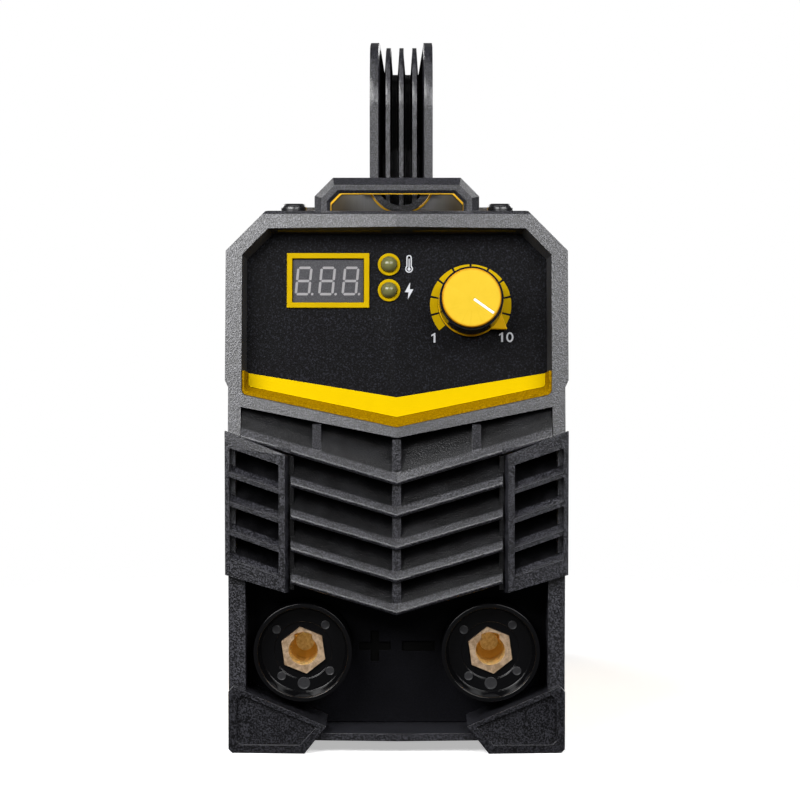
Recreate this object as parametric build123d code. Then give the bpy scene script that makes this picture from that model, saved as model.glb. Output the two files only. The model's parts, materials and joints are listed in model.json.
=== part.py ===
from build123d import *
import math
import os

# Stick welding inverter: a small single-phase arc welding power source.
# Frame: X to the right seen from the front, Y from front to rear, Z up, millimetres.
# The origin is at the centre of the footprint, on the surface that the feet stand on.

# ---------------------------------------------------------------- driving dimensions
width = 108.8             # over the upper front frame
depth = 225.0             # foremost louvre edge to the rear bumpers
body_height = 171.4       # feet to the top of the front and rear frames
handle_rise = 57.2        # frame top to the crown of the handle
wall = 2.4                # moulded frame walls
sheet = 1.0               # cover and base pan
fit = 0.2                 # clearance between parts that slide together at assembly
running = 0.05            # radial clearance of a shaft in its bearing
past = 1.0                # how far a cutting shape runs past what it cuts

# case outline
corner = 12.5             # chamfer on the two upper corners of the frames
leg_step = 1.05           # each side of the lower frame stands in from the upper one
waist_slope = 2.2         # height of the slope between them
leg_width = 5.4           # front face width of the lower frame's legs
slot_step = 1.3           # the louvred slot above the side vents is this much wider at each side
bar_bottom = 3.8          # underside of the frame between the feet
bar_top = 9.1             # floor of the socket recess
frame_depth = 36.0        # how far the front frame's skirt runs back
rear_frame_depth = 34.0
rear_lip = 3.2            # the rear frame's lip around the rear panel
cover_lap = 9.0           # how far the cover reaches into each frame

# front face, leaning back above a height and creased along its centre
lean = 10.0               # degrees
face_height = 71.4        # frame top down to where the lean starts
prow = 3.5                # the centre crease stands ahead of the sides
face_back = 2.0           # frame face behind the foremost louvre edge
top_bevel = 0.9           # height of the bevel along the frame's top edge
top_bevel_lean = 52.0     # degrees
wing_proud = 1.0          # side vents stand ahead of the louvre edges
band_end_rise = 9.4       # lower edge of the upper frame's band above the lean line, at the legs
band_mid_rise = 0.2       # and at the centre
waist_rise = 18.0         # the sides step in this far above the lean line

# control recess, heights measured up the leaning panel from the lean line
panel_recess = 11.2       # control panel surface behind the frame's crease
panel_thick = 2.4
panel_rim = 6.5           # frame width beside the recess floor
panel_head = 7.4          # frame height above the recess floor
panel_bottom_end = 15.3
panel_bottom_mid = 5.5
panel_corner = 8.3
recess_round = 2.0        # lower corners of the control recess
side_draft = 9.0          # degrees, walls of the control recess
bottom_draft = 20.0
top_draft = 3.0
panel_lip = 1.6           # the panel reaches this far behind the recess walls
panel_joint = 0.05        # gap between panel and recess floor
trim_height = 4.8         # bright face of the chevron trim, measured up the panel
trim_crown = 1.95         # its upper edge rises this much more at the centre
trim_thick = 0.8

# louvres
slat_top_drop = 4.5       # ends of the topmost louvre edge below the lean line
slat_low_rise = 23.0      # ends of the lowest louvre edge above the socket axes
slat_count = 5
slat_drop = 9.3           # each louvre's centre hangs this far below its ends
slat_gap = 1.6            # louvre ends to the side vents
slat_edge = 1.7           # thickness of a louvre's front edge
slat_run = 9.0            # louvre depth, front edge to rear edge
slat_rise = 10.5          # louvre height, front edge to rear edge
top_run = 11.0            # the topmost louvre is deeper, and fills the slot up to the band
top_rise = 15.0
rib_thick = 2.7
rib_x = 25.2              # the two outer ribs of the upper slot

# side vents: pairs are outer and inner heights
wing_width = 20.9
wing_thick = 6.0
wing_bevel = 1.7
wing_band_gap = (7.1, 15.1)       # upper edge below the band's end
wing_socket_rise = (25.5, 19.5)   # lower edge above the socket axes
window_inset = (1.7, 3.7)         # windows stand in from the outer and inner edges
window_top_gap = (5.3, 2.5)       # first window below the upper edge
window_low_gap = (3.5, 4.1)       # last window above the lower edge
window_count = 4
wing_slat = 1.4

# feet
foot_top = 21.1
foot_length = 31.05
foot_tip_z = 8.85
foot_toe = 6.9            # the underside starts this far outside the foot's tip
foot_rim = 2.6
foot_facet = 1.2          # depth of the sunken facet
foot_proud = 3.0          # feet stand ahead of the frame face

# output sockets
socket_gap = 2.35         # between a socket shell and the leg beside it
socket_z = 31.3
socket_panel_y = 23.0     # recess floor behind the foremost louvre edge
socket_panel_thick = 3.0
socket_length = 16.0      # ahead of the recess floor
socket_r = 15.7
socket_rim = 1.3
socket_slope = 1.1        # the well narrows this much from rim to floor
socket_well = 5.5         # rim to inner face
socket_step = 0.6         # shallow step around the hexagon
hex_wall = 1.85           # brass left between the bore and the hexagon's flats
hex_turn = -8.0           # degrees
hex_length = 8.2
bore_r = 4.68             # 10-25 mm2 cable connector
bore_depth = 20.0
bore_tip = 3.0            # the last of the bore is a cone
bore_tip_r = 2.9
key_width = 5.8
key_depth = 1.2           # the key's roof is round
key_length = 11.0
stud_r = 4.0
stud_length = 13.0
spigot_wall = 5.0
mark_sink = 0.8           # plus and minus marks
strap_thick = 2.0
strap_half = 7.0
strap_foot = 9.5          # bus bar on the power board, packed closely

# handle
handle_x = 1.35
handle_width = 20.5
handle_leg_y = 40.0       # leg face behind the foremost louvre edge
handle_thick = 15.5
handle_web = 4.65
handle_corner = 20.0
handle_crown = 3.0
handle_foot_rise = 9.8    # centre of the rounded leg end above the frame top
flange_tip = 2.75
flange_root = 4.5
rib_tip = 1.4
rib_root = 2.6
rib_low = 1.75            # inner ribs stop short of the outer flanges
rib_gap = 0.11            # between the roots of the outer ribs and the flanges
leg_rim = 2.1
boss_depth = 8.0
mount_depth = 22.5        # leg face to the rear of a handle mount
mount_corner = 3.4
mount_lip = 0.6           # bright edge left around the plate
mount_rim = 0.5           # and around the leg's rounded end
plate_set = 1.6           # plate face behind the leg face
plate_thick = 2.9

# strap brackets
bracket_half = 26.25
bracket_height = 10.6
bracket_corner = 5.9
bracket_wall = 5.0
bracket_thick = 8.0
bracket_bevel = 2.3
bracket_bevel_depth = 3.5
bracket_edge = 1.0        # bevel around the front of the bracket's window

# cover vents: slanted slots in rows
vent_count = 9
vent_rows = 3
vent_width = 3.2
vent_height = 26.0
vent_slant = 8.0
vent_pitch_y = 11.0
vent_pitch_z = 34.0
vent_z = 44.0

# knob and rotary control
knob_x = 23.6
knob_drop = 29.9          # below the frame top, as for the display and the lamps
knob_r = 10.2
knob_height = 16.0
knob_gap = 0.9
knob_taper = 0.1
cap_inset = 0.85
cap_thick = 1.6
nose_length = 4.1         # pointer nose past the knob
nose_half = 5.6
nose_root = 6.0           # the nose's base on the knob's radius
nose_angle = -35.5        # degrees, pointer at the top of the scale
pointer_thick = 2.1
pointer_lip = 0.2         # the pointer ring shows around the knob's foot
index_width = 0.85
shaft_r = 3.0
collet_r = 5.0
collet_length = 7.5
collet_rise = 5.2         # collet above the knob's foot
bushing_r = 3.6
bushing_length = 5.0      # ahead of the panel
nut_room_r = 7.4
pot_r = 8.2
pot_depth = 8.5
shaft_length = 17.0
shaft_tail = 4.5          # behind the panel

# display and lamps
display_x = -22.0
display_drop = 22.3
display_w = 22.9
display_h = 14.2
display_rim = 1.75
display_rim_thick = 0.9
display_sink = 0.3        # display face behind the panel face
led_x = -2.5
led_drop = (17.2, 25.4)
led_r = 2.5
led_ring_r = 3.6
led_ring_thick = 0.8

# control board
board_drop = 11.6         # control board behind the panel's face
board_thick = 1.6
control_board_inset = 5.9
control_board_height = 42.0
control_board_drop = 27.9
post_r = 3.0
post_inset = 3.0

# fan
fan_size = 80.0
fan_depth = 25.4
fan_z = 62.0
fan_duct_wall = 1.8
fan_hole_inset = 4.25
tip_gap = 0.9             # blade tips to the duct
hub_r = 17.0
blade_count = 7
blade_pitch = 38.0        # degrees
fan_shaft_r = 1.5
strut_half = 1.6
strut_thick = 2.5
screw_r = 2.0             # M4 fan screws
screw_head_r = 3.9
guard_wire_r = 0.85
guard_inner = 9.0
guard_past = 2.8          # outer ring past the duct
guard_rings = 5
bearing_r = 4.0

# rear panel
rear_recess = 10.0
rear_panel_thick = 2.5
switch_x = -26.0
switch_drop = 40.4        # below the frame top, as for the cable entry
switch_w = 22.0           # panel cut-out, across
switch_h = 27.0
switch_depth = 16.0
switch_bezel = 1.6
rocker_rest = 10.0        # degrees the key leans from level at each end of its travel
rocker_pin_r = 1.2
rocker_pin_set = 3.0      # pin behind the panel face
gland_x = 26.0
gland_r = 10.0            # M20 thread
gland_bore = 6.0
gland_collar = 5.0
gland_stub = 1.6          # thread ahead of the collar, inside the clamping nut
earth_r = 3.0             # M6 earth stud
earth_rise = 11.0         # above the fan

# power electronics
board_margin = 4.65       # power board's sides to the cover's inner face
board_inset = 44.5        # board edge behind the foremost louvre edge
board_fan_gap = 5.0
standoff = 8.0
sink_gap = 3.65           # heat sinks to the cover's inner face
core_gap = 2.1            # power devices to the transformer's core
sink_front = 6.0          # first place of the heat sinks behind the board's edge
sink_length = 68.0
sink_height = 46.0
sink_lift = 3.0
sink_base = 4.0
fin_count = 7
fin_thick = 1.6
device_width = 15.8
device_height = 20.0
device_thick = 5.0
device_count = 4
choke_r = 17.0
choke_hole_r = 8.0
choke_width = 12.0
choke_front = 4.0
core_half = 17.0
core_depth = 22.0
core_height = 46.0
core_foot = 7.0
window_half = (6.5, 12.5)
coil_past = 7.0           # winding past the core, front and rear
coil_front = 20.0         # first place of the winding behind the board's edge
film_front = 57.5
film_thick = 8.0
film_gap = 1.0
can_r = 12.5
can_x = 13.0
can_height = 48.0
can_back = 13.5           # axes ahead of the board's rear edge
rear_parts_room = 25.0    # supply parts' front ends to the board's rear edge, packed closely
lane_length = 100.0       # board length that the parts need when packed closely

# ---------------------------------------------------------------- derived places
front = -depth / 2
back = depth / 2
half = width / 2
leg_half = half - leg_step
leg_inner = leg_half - leg_width
slot_inner = leg_inner + slot_step
cavity_half = leg_half - wall
cavity_top = body_height - wall
diag = half + body_height - corner        # x + z along the corner chamfer
root2 = math.sqrt(2)
tan_lean = math.tan(math.radians(lean))
cos_lean = math.cos(math.radians(lean))
sin_lean = math.sin(math.radians(lean))
lean_z = body_height - face_height
band_end = lean_z + band_end_rise
band_mid = lean_z + band_mid_rise
waist_top = lean_z + waist_rise
panel_half = half - panel_rim
panel_top = (body_height - panel_head - lean_z) / cos_lean
wing_inner = half - wing_width
slat_half = wing_inner - slat_gap
slat_first = lean_z - slat_top_drop
slat_pitch = (slat_first - socket_z - slat_low_rise) / (slat_count - 1)
slat_end_z = [slat_first - i * slat_pitch for i in range(slat_count)]
wing_top = [band_end - gap for gap in wing_band_gap]
wing_bottom = [socket_z + rise for rise in wing_socket_rise]
window_x = (wing_inner + window_inset[1], half - window_inset[0])
socket_x = leg_inner - socket_gap - socket_r
socket_floor_y = front + socket_panel_y
socket_floor_r = socket_r - socket_rim - socket_slope
hex_flats = 2 * (bore_r + hex_wall)
tail_r = bore_r + hex_wall - 0.25
spigot_r = stud_r + spigot_wall
contact_face_y = socket_floor_y - socket_length + socket_well - 0.3
contact_end_y = contact_face_y + bore_depth + bore_tip
pan_z = bar_bottom + wall + fit
pan_top = pan_z + sheet
pan_flange = 14.0
cover_front = front + frame_depth - cover_lap
cover_back = back - rear_frame_depth + cover_lap
cover_half = cavity_half - fit
cover_top = cavity_top - fit
rear_panel_y = back - rear_recess
fan_back = rear_panel_y - rear_panel_thick
fan_front = fan_back - fan_depth
fan_bore = fan_size / 2 - fan_duct_wall
rotor_r = fan_bore - tip_gap
earth_z = fan_z + fan_size / 2 + earth_rise
switch_z = body_height - switch_drop
gland_z = switch_z
knob_z = body_height - knob_drop
cap_r = knob_r - cap_inset
display_z = body_height - display_drop
led_z = [body_height - drop for drop in led_drop]
control_board_z = body_height - control_board_drop
control_board_half = panel_half - control_board_inset
board_half = cover_half - sheet - board_margin
board_front = front + board_inset
board_back = fan_front - board_fan_gap
board_z = pan_top + standoff + board_thick      # top face of the power board
lane_spare = board_back - board_front - lane_length
sink_x = cover_half - sheet - sink_gap
sink_width = sink_x - core_half - core_gap - device_thick
sink_y = board_front + sink_front + 0.4 * lane_spare
transformer_y = board_front + coil_front + coil_past + 0.4 * lane_spare
film_y = board_front + film_front + 0.7 * lane_spare
rear_parts_y = board_back - rear_parts_room - 0.053 * lane_spare
handle_top = body_height + handle_rise
leg_front_y = front + handle_leg_y
leg_end_z = body_height + handle_foot_rise
leg_end_r = handle_width / 2
rib_pitch = handle_width / 2 - flange_root - rib_root / 2 - rib_gap
bracket_y = front + face_back + face_height * tan_lean + 2.0
top_bevel_setback = face_back + (face_height - top_bevel) * (tan_lean - math.tan(math.radians(top_bevel_lean)))
mount_half = bracket_half - bracket_wall + 0.8
mount_top = body_height + bracket_height - bracket_wall + 0.3
plate_y = leg_front_y + plate_set
top_screw_x = half - corner - 8.7
top_screw_y = cover_front + 4.0

PANEL = Plane(
    (0, front + face_back + panel_recess, lean_z),
    x_dir=(1, 0, 0),
    z_dir=(0, -cos_lean, sin_lean),
)


# ---------------------------------------------------------------- shape helpers
def up_panel(z):
    """Distance up the leaning panel to a point at height z."""
    return (z - lean_z) / cos_lean


def on_panel(x, z, rise=0.0):
    """Location on the control panel, rise above its face."""
    return PANEL.location * Pos(x, up_panel(z), rise)


def front_face(points, y):
    """Closed outline given in X, Z as a face at depth y."""
    plane = Plane((0, y, 0), x_dir=(1, 0, 0), z_dir=(0, -1, 0))
    return plane * make_face(Polyline(*points, close=True))


def plate(points, y_front, y_back):
    """Prism along Y with an outline given in X, Z."""
    return extrude(front_face(points, y_back), y_back - y_front)


def both(points):
    """Complete a right half outline, listed from top to bottom, with its mirror."""
    left = [(-x, z) for x, z in reversed(points) if x > 1e-9]
    return list(points) + left


def both_boxes(x0, x1, y0, y1, z0, z1):
    """A box and its mirror on the other side of the centre plane."""
    right = block(x0, x1, y0, y1, z0, z1)
    return right + mirrored(right)


def side_prism(points, x_left, x_right):
    """Prism along X with an outline given in Y, Z."""
    face = Plane.YZ.offset(x_left) * make_face(Polyline(*points, close=True))
    return extrude(face, x_right - x_left)


def block(x0, x1, y0, y1, z0, z1):
    """Box between two corners."""
    return Pos((x0 + x1) / 2, (y0 + y1) / 2, (z0 + z1) / 2) * Box(x1 - x0, y1 - y0, z1 - z0)


def rod_y(x, z, r, y0, y1):
    """Cylinder along Y between two depths."""
    plane = Plane((x, y0, z), x_dir=(1, 0, 0), z_dir=(0, 1, 0))
    return plane * Cylinder(r, y1 - y0, align=(Align.CENTER, Align.CENTER, Align.MIN))


def rod_z(x, y, r, z0, z1):
    """Cylinder along Z between two heights."""
    return Pos(x, y, z0) * Cylinder(r, z1 - z0, align=(Align.CENTER, Align.CENTER, Align.MIN))


def rod_x(y, z, r, x0, x1):
    """Cylinder along X between two sides."""
    plane = Plane((x0, y, z), x_dir=(0, 1, 0), z_dir=(1, 0, 0))
    return plane * Cylinder(r, x1 - x0, align=(Align.CENTER, Align.CENTER, Align.MIN))


def hex_y(x, z, flats, y0, y1, turn=0.0):
    """Hexagonal prism along Y, across flats."""
    plane = Plane((x, y0, z), x_dir=(1, 0, 0), z_dir=(0, 1, 0))
    outline = RegularPolygon(flats / 2, 6, major_radius=False, rotation=30 + turn)
    return extrude(plane * outline, y1 - y0)


def mirrored(shape):
    """The same shape on the other side of the centre plane."""
    return mirror(shape, about=Plane.YZ)


def two(shape):
    """A right-hand shape and its mirror as two solids."""
    return [shape, mirrored(shape)]


def creased(setback, slope=0.0):
    """Everything behind a front surface that is creased at X = 0 and leans back by slope."""
    rise = math.tan(math.radians(slope))
    origin = (0, front + setback, lean_z)
    room = 2 * (width + depth + handle_top)
    solid = None
    for side in (1, -1):
        plane = Plane(origin, x_dir=(0, rise, 1), z_dir=(side * prow / half, -1, rise))
        behind = plane * Pos(0, 0, -room / 2) * Box(2 * room, 2 * room, room)
        solid = behind if solid is None else solid & behind
    return solid


def write(name, shape):
    """One STEP file per sub-part; a list is a group of separate solids."""
    if isinstance(shape, (list, tuple)):
        solids = [s for item in shape for s in item.solids()]
        shape = Compound(solids)
    os.makedirs("parts", exist_ok=True)
    export_step(shape, os.path.join("parts", name + ".step"))


def case_outline(half_x, top, diagonal, bottom):
    """Right half of the case section: flat top, chamfered corner, straight side."""
    return [(0, top), (diagonal - top, top), (half_x, diagonal - half_x), (half_x, bottom), (0, bottom)]


# ---------------------------------------------------------------- front frame
def recess_outline(rise, grow=0.0):
    """Control recess in panel coordinates, rise above the panel face."""
    side = panel_half + rise * math.tan(math.radians(side_draft)) + grow
    drop = rise * math.tan(math.radians(bottom_draft)) + grow
    top = panel_top + rise * math.tan(math.radians(top_draft)) + grow
    return both([
        (0, top),
        (side - panel_corner, top),
        (side, top - panel_corner),
        (side, panel_bottom_end - drop),
        (0, panel_bottom_mid - drop),
    ])


def recess_section(rise, grow=0.0):
    """The recess outline as a face parallel to the panel, its lower corners rounded."""
    outline = recess_outline(rise, grow)
    low = panel_bottom_end - rise * math.tan(math.radians(bottom_draft)) - grow
    face = make_face(Polyline(*outline, close=True)).face()
    corners = [corner for corner in face.vertices() if abs(corner.Y - low) < 0.01]
    return PANEL.offset(rise) * face.fillet_2d(recess_round + grow, corners)


def control_recess():
    """Drafted pocket in front of the control panel."""
    reach = panel_recess + wall
    return loft([recess_section(0), recess_section(reach)], ruled=True)


def foot_outline(inset=0.0):
    """Outline of the right moulded foot, drawn in by inset."""
    side = leg_half - inset
    tip_x = leg_half - foot_length
    chamfer = 1.6
    slope = (foot_top - foot_tip_z) / foot_length
    lift = inset * math.sqrt(1 + slope * slope)
    return [
        (side - chamfer, foot_top - lift + 0.2),
        (side, foot_top - lift - chamfer),
        (side, inset + 1.2),
        (side - 1.2, inset),
        (tip_x + foot_toe + inset * 0.6, inset),
        (tip_x + inset * 1.15, foot_tip_z - inset * 0.1),
    ]


def foot_hollow():
    """Room between the feet for the cover, the pan and the rear of the socket recess."""
    floor = bar_bottom + wall
    top = foot_top + 40
    return both([(0, top), (cavity_half, top), (cavity_half, floor), (0, floor)])


def bracket():
    """Strap bracket standing on the front frame: a bevelled arch with a window through it."""
    base = body_height - wall
    top = body_height + bracket_height
    slant = bracket_bevel * (root2 - 1) / 2
    outer = both([
        (0, top),
        (bracket_half - bracket_corner, top),
        (bracket_half, top - bracket_corner),
        (bracket_half, base),
        (0, base),
    ])
    inner_half = bracket_half - bracket_wall
    inner_top = top - bracket_wall
    inner_corner = bracket_corner - bracket_wall * (2 - root2)
    inner = both([
        (0, inner_top),
        (inner_half - inner_corner, inner_top),
        (inner_half, inner_top - inner_corner),
        (inner_half, body_height),
        (0, body_height),
    ])
    face = both([
        (0, top - bracket_bevel),
        (bracket_half - bracket_corner - slant, top - bracket_bevel),
        (bracket_half - bracket_bevel, top - bracket_corner - slant),
        (bracket_half - bracket_bevel, base),
        (0, base),
    ])
    bevel_y = bracket_y + bracket_bevel_depth
    back_y = bracket_y + bracket_thick
    taper = loft([front_face(face, bracket_y), front_face(outer, bevel_y)], ruled=True)
    arch = taper + plate(outer, bevel_y, back_y)
    edge = bracket_edge * (root2 - 1)
    wide = both([
        (0, inner_top + bracket_edge),
        (inner_half - inner_corner + edge, inner_top + bracket_edge),
        (inner_half + bracket_edge, inner_top - inner_corner + edge),
        (inner_half + bracket_edge, body_height),
        (0, body_height),
    ])
    flare = loft([front_face(wide, bracket_y), front_face(inner, bracket_y + bracket_edge)], ruled=True)
    return arch - flare - plate(inner, bracket_y - past, back_y + past)


def top_screw_places():
    """X, Y of the two screws that hold the front frame to the cover."""
    return [(x, top_screw_y) for x in (-top_screw_x, top_screw_x)]


def frame_outline():
    """Section of both frames: chamfered top, stepped sides."""
    return both([
        (0, body_height),
        (half - corner, body_height),
        (half, body_height - corner),
        (half, waist_top),
        (leg_half, waist_top - waist_slope),
        (leg_half, bar_bottom),
        (0, bar_bottom),
    ])


def frame_cavity():
    """Room inside both frames for the cover."""
    return both(case_outline(cavity_half, cavity_top, diag - wall * root2, bar_bottom + wall))


def front_frame():
    """Moulded bezel: control surround, legs, sill, feet and strap bracket, with a skirt behind."""
    skirt_back = front + frame_depth
    frame = plate(frame_outline(), front, skirt_back)
    frame = frame & creased(face_back) & creased(face_back, lean) & creased(top_bevel_setback, top_bevel_lean)

    # open the middle between the legs, up to the band
    slot_end = band_end + (band_end - band_mid) * slot_step / leg_inner
    opening = both([
        (0, band_mid),
        (slot_inner, slot_end),
        (slot_inner, wing_top[1]),
        (leg_inner, wing_top[1]),
        (leg_inner, bar_top),
        (0, bar_top),
    ])
    frame -= plate(opening, front - past, skirt_back + past)
    frame -= control_recess()

    # hollow behind the panel seat and behind the legs
    room = 2 * (width + body_height)
    behind_panel = PANEL.location * Pos(0, 0, -room / 2) * Box(room, room, room)
    low_top = lean_z + 4
    solid_legs = both_boxes(leg_inner, width, front - past, socket_floor_y, 0, low_top)
    frame -= (plate(frame_cavity(), front, skirt_back + past) & behind_panel) - solid_legs
    floor = bar_bottom + wall
    lower = both([(0, low_top), (cavity_half, low_top), (cavity_half, floor), (0, floor)])
    frame -= plate(lower, socket_floor_y, skirt_back + past)

    # behind the side vents only the outer walls are left
    gap = [
        (leg_inner - past, wing_top[1] + 2),
        (cavity_half, wing_top[0] - 3),
        (cavity_half, wing_bottom[0] + 2),
        (leg_inner - past, wing_bottom[1] + 4),
    ]
    hole = plate(gap, front - past, socket_floor_y + past)
    frame -= hole + mirrored(hole)

    # feet with a raised rim around a sunken facet
    foot_face = face_back - foot_proud
    foot = plate(foot_outline(), front - foot_proud, skirt_back) & creased(foot_face)
    facet = plate(foot_outline(foot_rim), front - foot_proud - past, skirt_back)
    sunk = facet - creased(foot_face + foot_facet)
    keep = plate(foot_outline(), front - foot_proud - past, skirt_back)
    right_foot = foot - sunk
    frame += right_foot + mirrored(right_foot)
    frame -= plate(foot_hollow(), socket_floor_y, skirt_back + past)
    frame -= plate(opening, front - foot_proud - past, socket_floor_y) - keep - mirrored(keep)

    frame += bracket()
    for x, y in top_screw_places():
        frame -= rod_z(x, y, screw_r + 0.1, cavity_top - past, body_height + past)
    return frame


# ---------------------------------------------------------------- front grille
def louvre(end_z, half_span, drop, thick, run, rise, y_edge):
    """One chevron louvre: a rounded front edge and a blade rising to the rear."""
    r = thick / 2
    slope = math.atan2(rise - thick, run - thick)
    nx, nz = math.sin(slope) * r, math.cos(slope) * r
    centre = (y_edge + r, end_z - drop)
    far = (centre[0] + run - thick, centre[1] + rise - thick)
    blade = [
        (centre[0] - nx, centre[1] + nz),
        (far[0] - nx, far[1] + nz),
        (far[0] + nx, far[1] - nz),
        (centre[0] + nx, centre[1] - nz),
    ]
    path = Vector(half_span, prow * half_span / half, drop)
    section = Plane.YZ * (make_face(Polyline(*blade, close=True)) + Pos(*centre) * Circle(r))
    right = extrude(section, path.length, dir=path)
    return right + mirrored(right)


def window_heights():
    """Outer and inner heights of the wing windows' upper edges, and of the last lower edge."""
    rows = []
    for i in range(window_count + 1):
        share = i / window_count
        row = []
        for side in (0, 1):
            high = wing_top[side] - window_top_gap[side]
            low = wing_bottom[side] + window_low_gap[side]
            row.append(high + (low - high) * share)
        rows.append(row)
    return rows


def wing():
    """Right side vent: a bevelled window frame with sloping louvres."""
    outer = half - fit
    points = [
        (wing_inner, wing_top[1]),
        (outer, wing_top[0]),
        (outer, wing_bottom[0]),
        (wing_inner, wing_bottom[1]),
    ]
    y_back = front + wing_thick
    body = plate(points, front - foot_proud, y_back + wing_thick) & creased(-wing_proud)
    bevel = make_face(Polyline(
        (wing_inner - past, front - foot_proud),
        (wing_inner + wing_bevel, front - foot_proud),
        (wing_inner + wing_bevel, front - wing_proud + 2.2),
        (wing_inner, y_back),
        (wing_inner - past, y_back),
        close=True,
    ))
    body -= Pos(0, 0, wing_bottom[1] - past) * extrude(bevel, wing_top[0])
    inner, outer_x = window_x
    rows = window_heights()
    for (zo, zi), (zo2, zi2) in zip(rows, rows[1:]):
        window = [(inner, zi), (outer_x, zo), (outer_x, zo2 + wing_slat), (inner, zi2 + wing_slat)]
        body -= plate(window, front - foot_proud - past, y_back + wing_thick + past)
    # blades rise to the rear behind each window
    run = outer_x - inner + 1.0
    for zo, zi in rows[1:]:
        drop = (zo - zi) * run / (outer_x - inner)
        y_edge = front - wing_proud + prow * inner / half + 0.6
        profile = [
            (y_edge, zi),
            (y_edge, zi + wing_slat),
            (y_edge + 7.5, zi + 8.2),
            (y_edge + 8.6, zi + 7.4),
            (y_edge + 1.4, zi),
        ]
        path = Vector(run, prow * run / half, drop)
        face = Plane.YZ.offset(inner - 0.5) * make_face(Polyline(*profile, close=True))
        body += extrude(face, path.length, dir=path)
    return body


def front_grille():
    """Louvred insert: central chevron slats, ribs and the two side vents in one moulding."""
    grille = None
    ahead = front - 9
    behind = front + frame_depth
    span_top = slot_inner - fit
    for i, end_z in enumerate(slat_end_z):
        span = wing_inner if i else span_top
        run, rise = (slat_run, slat_rise) if i else (top_run, top_rise)
        drop = slat_drop * span / slat_half
        slat = louvre(end_z + drop - slat_drop, span, drop, slat_edge, run, rise, front)
        grille = slat if grille is None else grille + slat
    wing_side = slat_half + 1.4
    grille -= both_boxes(wing_side, width, ahead, front + 2.5, wing_bottom[1], wing_top[0] + 9)

    # the slot's floor ends under the band
    edge_slope = (band_end - band_mid) / leg_inner
    above = both([
        (0, body_height),
        (half, body_height),
        (half, band_mid - fit + edge_slope * half),
        (0, band_mid - fit),
    ])
    grille -= plate(above, ahead, behind)

    # one rib down the centre and two in the upper slot
    low = slat_end_z[-1] - slat_drop
    rib_front = front + 2.0
    rib_back = front + slat_run + 2
    profile = [
        (rib_front, low + 1.5),
        (rib_front, band_mid - 0.5),
        (rib_back, band_mid - 0.5),
        (rib_back, low + 6),
    ]
    grille += side_prism(profile, -rib_thick / 2, rib_thick / 2)
    foot_z = slat_first - slat_drop * (1 - rib_x / slat_half)
    head_z = band_mid + edge_slope * rib_x - 0.7
    rib = [
        (rib_front + 1.5, foot_z + 1),
        (rib_front + 1.5, head_z),
        (rib_back, head_z),
        (rib_back, foot_z + 4),
    ]
    side_rib = side_prism(rib, rib_x - rib_thick / 2, rib_x + rib_thick / 2)
    grille += side_rib + mirrored(side_rib)
    side_wing = wing()
    grille += side_wing + mirrored(side_wing)

    # clear the frame: its outer walls, and its legs above and below the vents
    behind_face = creased(face_back - 0.01)
    wall_x = cavity_half - fit
    grille -= behind_face - block(-wall_x, wall_x, ahead, behind + 30, 0, body_height)
    low_span = leg_inner - fit
    hem = behind_face - block(-low_span, low_span, ahead, behind + 30, 0, wing_top[1])
    hem -= block(-span_top, span_top, ahead, behind + 30, wing_top[1] + fit, body_height)
    grille -= hem - block(-width, width, ahead, behind + 30, wing_bottom[0] + 2.2, wing_top[1] + 1.8)

    # end plates close the louvres against the wings
    ends = both_boxes(wing_inner - 1.0, wing_inner + 0.6, front + wing_thick - 1, front + slat_run + 3,
                      wing_bottom[1] + 1, wing_top[1])
    return grille + ends


# ---------------------------------------------------------------- control panel group
def control_panel():
    """Leaning panel behind the recess, with windows for the display, lamps and knob."""
    outline = Polyline(*recess_outline(0, panel_lip), close=True)
    panel = extrude(PANEL.offset(-panel_thick) * make_face(outline), panel_thick - panel_joint)
    through = 4 * panel_thick
    panel -= on_panel(display_x, display_z, -panel_thick) * Box(display_w, display_h, through)
    for z in led_z:
        panel -= on_panel(led_x, z) * Cylinder(led_r + fit, through)
    panel -= on_panel(knob_x, knob_z) * Cylinder(bushing_r + fit, through)
    post_length = board_drop - panel_thick
    post = Cylinder(post_r, post_length, align=(Align.CENTER, Align.CENTER, Align.MAX))
    pilot = Cylinder(1.2, post_length, align=(Align.CENTER, Align.CENTER, Align.MIN))
    for x, z in board_post_places():
        panel += on_panel(x, z, -panel_thick) * post
        panel -= on_panel(x, z, -board_drop - past) * pilot
    return panel


def board_post_places():
    """X, Z of the four posts that carry the control board."""
    x = control_board_half - post_inset
    z = (control_board_height / 2 - post_inset - 1) * cos_lean
    return [(sx * x, control_board_z + sz * z) for sz in (-1, 1) for sx in (-1, 1)]


def chevron_trim():
    """Bright trim: a chevron face along the bottom of the recess with a lining up its lower wall."""
    lower = [(-panel_half, panel_bottom_end), (0, panel_bottom_mid), (panel_half, panel_bottom_end)]
    upper = [
        (panel_half, panel_bottom_end + trim_height),
        (0, panel_bottom_mid + trim_height + trim_crown),
        (-panel_half, panel_bottom_end + trim_height),
    ]
    face = extrude(PANEL * make_face(Polyline(*(lower + upper), close=True)), trim_thick)
    # the lining is a thin shell of the drafted pocket, kept only beside the chevron
    rise = panel_recess
    pocket = loft([recess_section(0), recess_section(rise)], ruled=True)
    inner = loft([recess_section(0, -trim_thick), recess_section(rise, -trim_thick)], ruled=True)
    room = 2 * width
    keep_top = panel_bottom_end + trim_height
    keep = PANEL.location * Pos(0, keep_top - room / 2, rise / 2) * Box(room, room, rise)
    trim = (face & pocket) + ((pocket - inner) & keep)
    return trim & creased(face_back + 0.6) & creased(face_back + 0.6, lean)


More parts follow.
